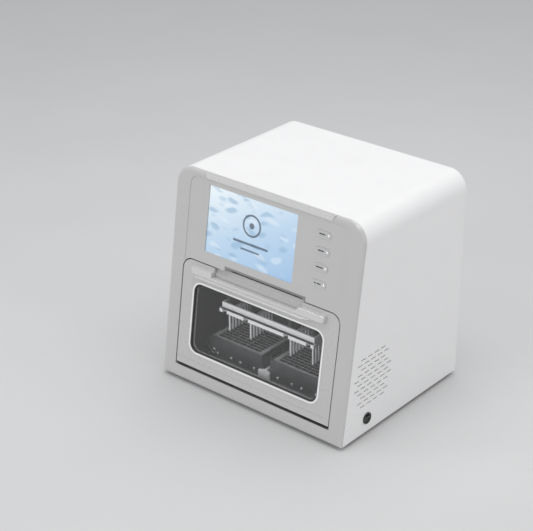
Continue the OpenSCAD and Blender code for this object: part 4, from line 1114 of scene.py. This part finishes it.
def build_carrier_screws(bm):
    """Dome heads across the front walls of both nests."""
    for nest in (-PLATE_X, PLATE_X):
        for shift in SCREW_SHIFTS:
            lathe(bm, DOME_HEAD, ((nest + shift) * MM, CARRIER_FRONT, SCREW_HEIGHT), (0, -1, 0))


def build_ring(bm):
    """A pull ring of round wire at the left end of the carrier's front."""
    rings = []
    for cosine, sine in circle(PULL_POINTS):
        out = Vector((cosine, 0, sine))
        wire = [(WIRE_RADIUS * c, Vector((0, WIRE_RADIUS * s, 0))) for c, s in circle(WIRE_POINTS)]
        rings.append([bm.verts.new(PULL_MIDDLE + out * (PULL_RADIUS + c) + s) for c, s in wire])
    loft(bm, rings, closed=True)


make_piece("carrier_screws", build_carrier_screws, "carrier", "screw_zinc")
make_piece("carrier_ring", build_ring, "carrier", "screw_zinc")
print("carrier front at y", round(CARRIER_FRONT, 4))

# %% [markdown]
# ** Dark strips** close two gaps as painted shade. A dark strip lies between the rack's two bars, where the gap
# is in shade, and its top waves a little. A dark sheet lines the slot below the door, where no light gets in:
# a flat pad will do.

# %% Shade strip and slot shade sheet
RIDGES, WAVE, WAVE_STEP = 40, 0.12 * MM, 1.7
SHADE_STRIP_INSET, SHADE_STRIP_GAP, SHADE_STRIP_LIFT, SHADE_STRIP_TOP = 3 * MM, 0.2 * MM, 0.1 * MM, 1.1 * MM
SLOT_SHADE_HALF, SLOT_SHADE_LOW, SLOT_SHADE_HIGH, SLOT_SHADE_CORNER = 187.0, 25.45, 26.6, 0.5
SLOT_SHADE_FRONT, SLOT_SHADE_BACK = 0.4, 15.5


def long_strip(bm, low, high):
    """A strip along X with a faintly wavy top, given by two corners in metres."""
    rows = []
    for i in range(RIDGES + 1):
        x = low.x + (high.x - low.x) * i / RIDGES
        top = high.z + WAVE * math.sin(i * WAVE_STEP)
        section = ((low.y, low.z), (high.y, low.z), (high.y, top), (low.y, top))
        rows.append([bm.verts.new((x, y, z)) for y, z in section])
    loft(bm, rows)


def build_slot_shade_sheet(bm):
    """A dark sheet on the floor of the slot below the door: painted shade."""
    outline = rounded_outline(-SLOT_SHADE_HALF, SLOT_SHADE_HALF, SLOT_SHADE_LOW, SLOT_SHADE_HIGH, SLOT_SHADE_CORNER, steps=3)
    face_pad(bm, outline, SLOT_SHADE_FRONT, SLOT_SHADE_BACK)


rack_low, rack_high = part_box("comb_rack")
bar_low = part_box("rack_frame")[0]
shade_strip_low = Vector((rack_low.x + SHADE_STRIP_INSET, rack_low.y + SHADE_STRIP_GAP, rack_high.z + SHADE_STRIP_LIFT))
shade_strip_high = Vector((rack_high.x - SHADE_STRIP_INSET, bar_low.y - SHADE_STRIP_GAP, rack_high.z + SHADE_STRIP_TOP))
# The strip between the rack's bars is painted shade for the gap.
make_piece("comb_gap_shade_strip", lambda bm: long_strip(bm, shade_strip_low, shade_strip_high), "sleeve_head", "black_plastic")
# The dark sheet in the slot is painted shade.
make_piece("slot_shade_sheet", build_slot_shade_sheet, "housing", "seal_rubber")

# %% [markdown]
# ## The header strip
# Along the top of the front a plain flat strip fills the rounded rim between two slanted ends. It is
# bare here. Its plastic is a shade lighter than the front's, and a bevel softens its edges.

# %% Header strip
HEADER_HALF, HEADER_SLANT, HEADER_LOW, HEADER_HIGH = 149.0, 4.5, 420.6, 431.2
HEADER_FRONT, HEADER_BACK, HEADER_EDGE = -0.9, 0.2, 0.4


def build_header(bm):
    """A thin flat strip whose ends slant outwards towards the top."""
    foot, head = HEADER_HALF, HEADER_HALF + HEADER_SLANT
    outline = [(foot, HEADER_LOW), (head, HEADER_HIGH), (-head, HEADER_HIGH), (-foot, HEADER_LOW)]
    face_pad(bm, outline, HEADER_FRONT, HEADER_BACK)


header = make_piece(
    "header_strip", build_header, "housing", "bezel_plastic", "header_plastic", smooth=False
)
soften(header, HEADER_EDGE)

# %% [markdown]
# ## The pane's gasket
# A black rubber gasket holds the pane in the door. Only its front lip shows, a dark line just inside
# the white trim. It is a ring between two rounded outlines, and its lip slopes down to the pane.

# %% Pane gasket
WINDOW_LEFT, WINDOW_RIGHT, WINDOW_LOW, WINDOW_HIGH, WINDOW_CORNER = -158.0, 158.0, 65.0, 208.0, 18.0
# Each pair is how far inside the window's edge a point of the lip lies, and how deep.
LIP_PROFILE = ((0.05, 3.42), (0.05, 0.35), (0.7, 0.1), (2.6, 1.1), (3.2, 2.2), (3.2, 3.42))


def build_gasket(bm):
    """A sloped ring inside the window's edge."""
    rings = []
    for inset, depth in LIP_PROFILE:
        sides = (WINDOW_LEFT + inset, WINDOW_RIGHT - inset, WINDOW_LOW + inset, WINDOW_HIGH - inset)
        rings.append(face_ring(bm, rounded_outline(*sides, WINDOW_CORNER - inset, steps=12), depth))
    loft(bm, rings, closed=True)


make_piece("pane_gasket", build_gasket, "door", "seal_rubber")
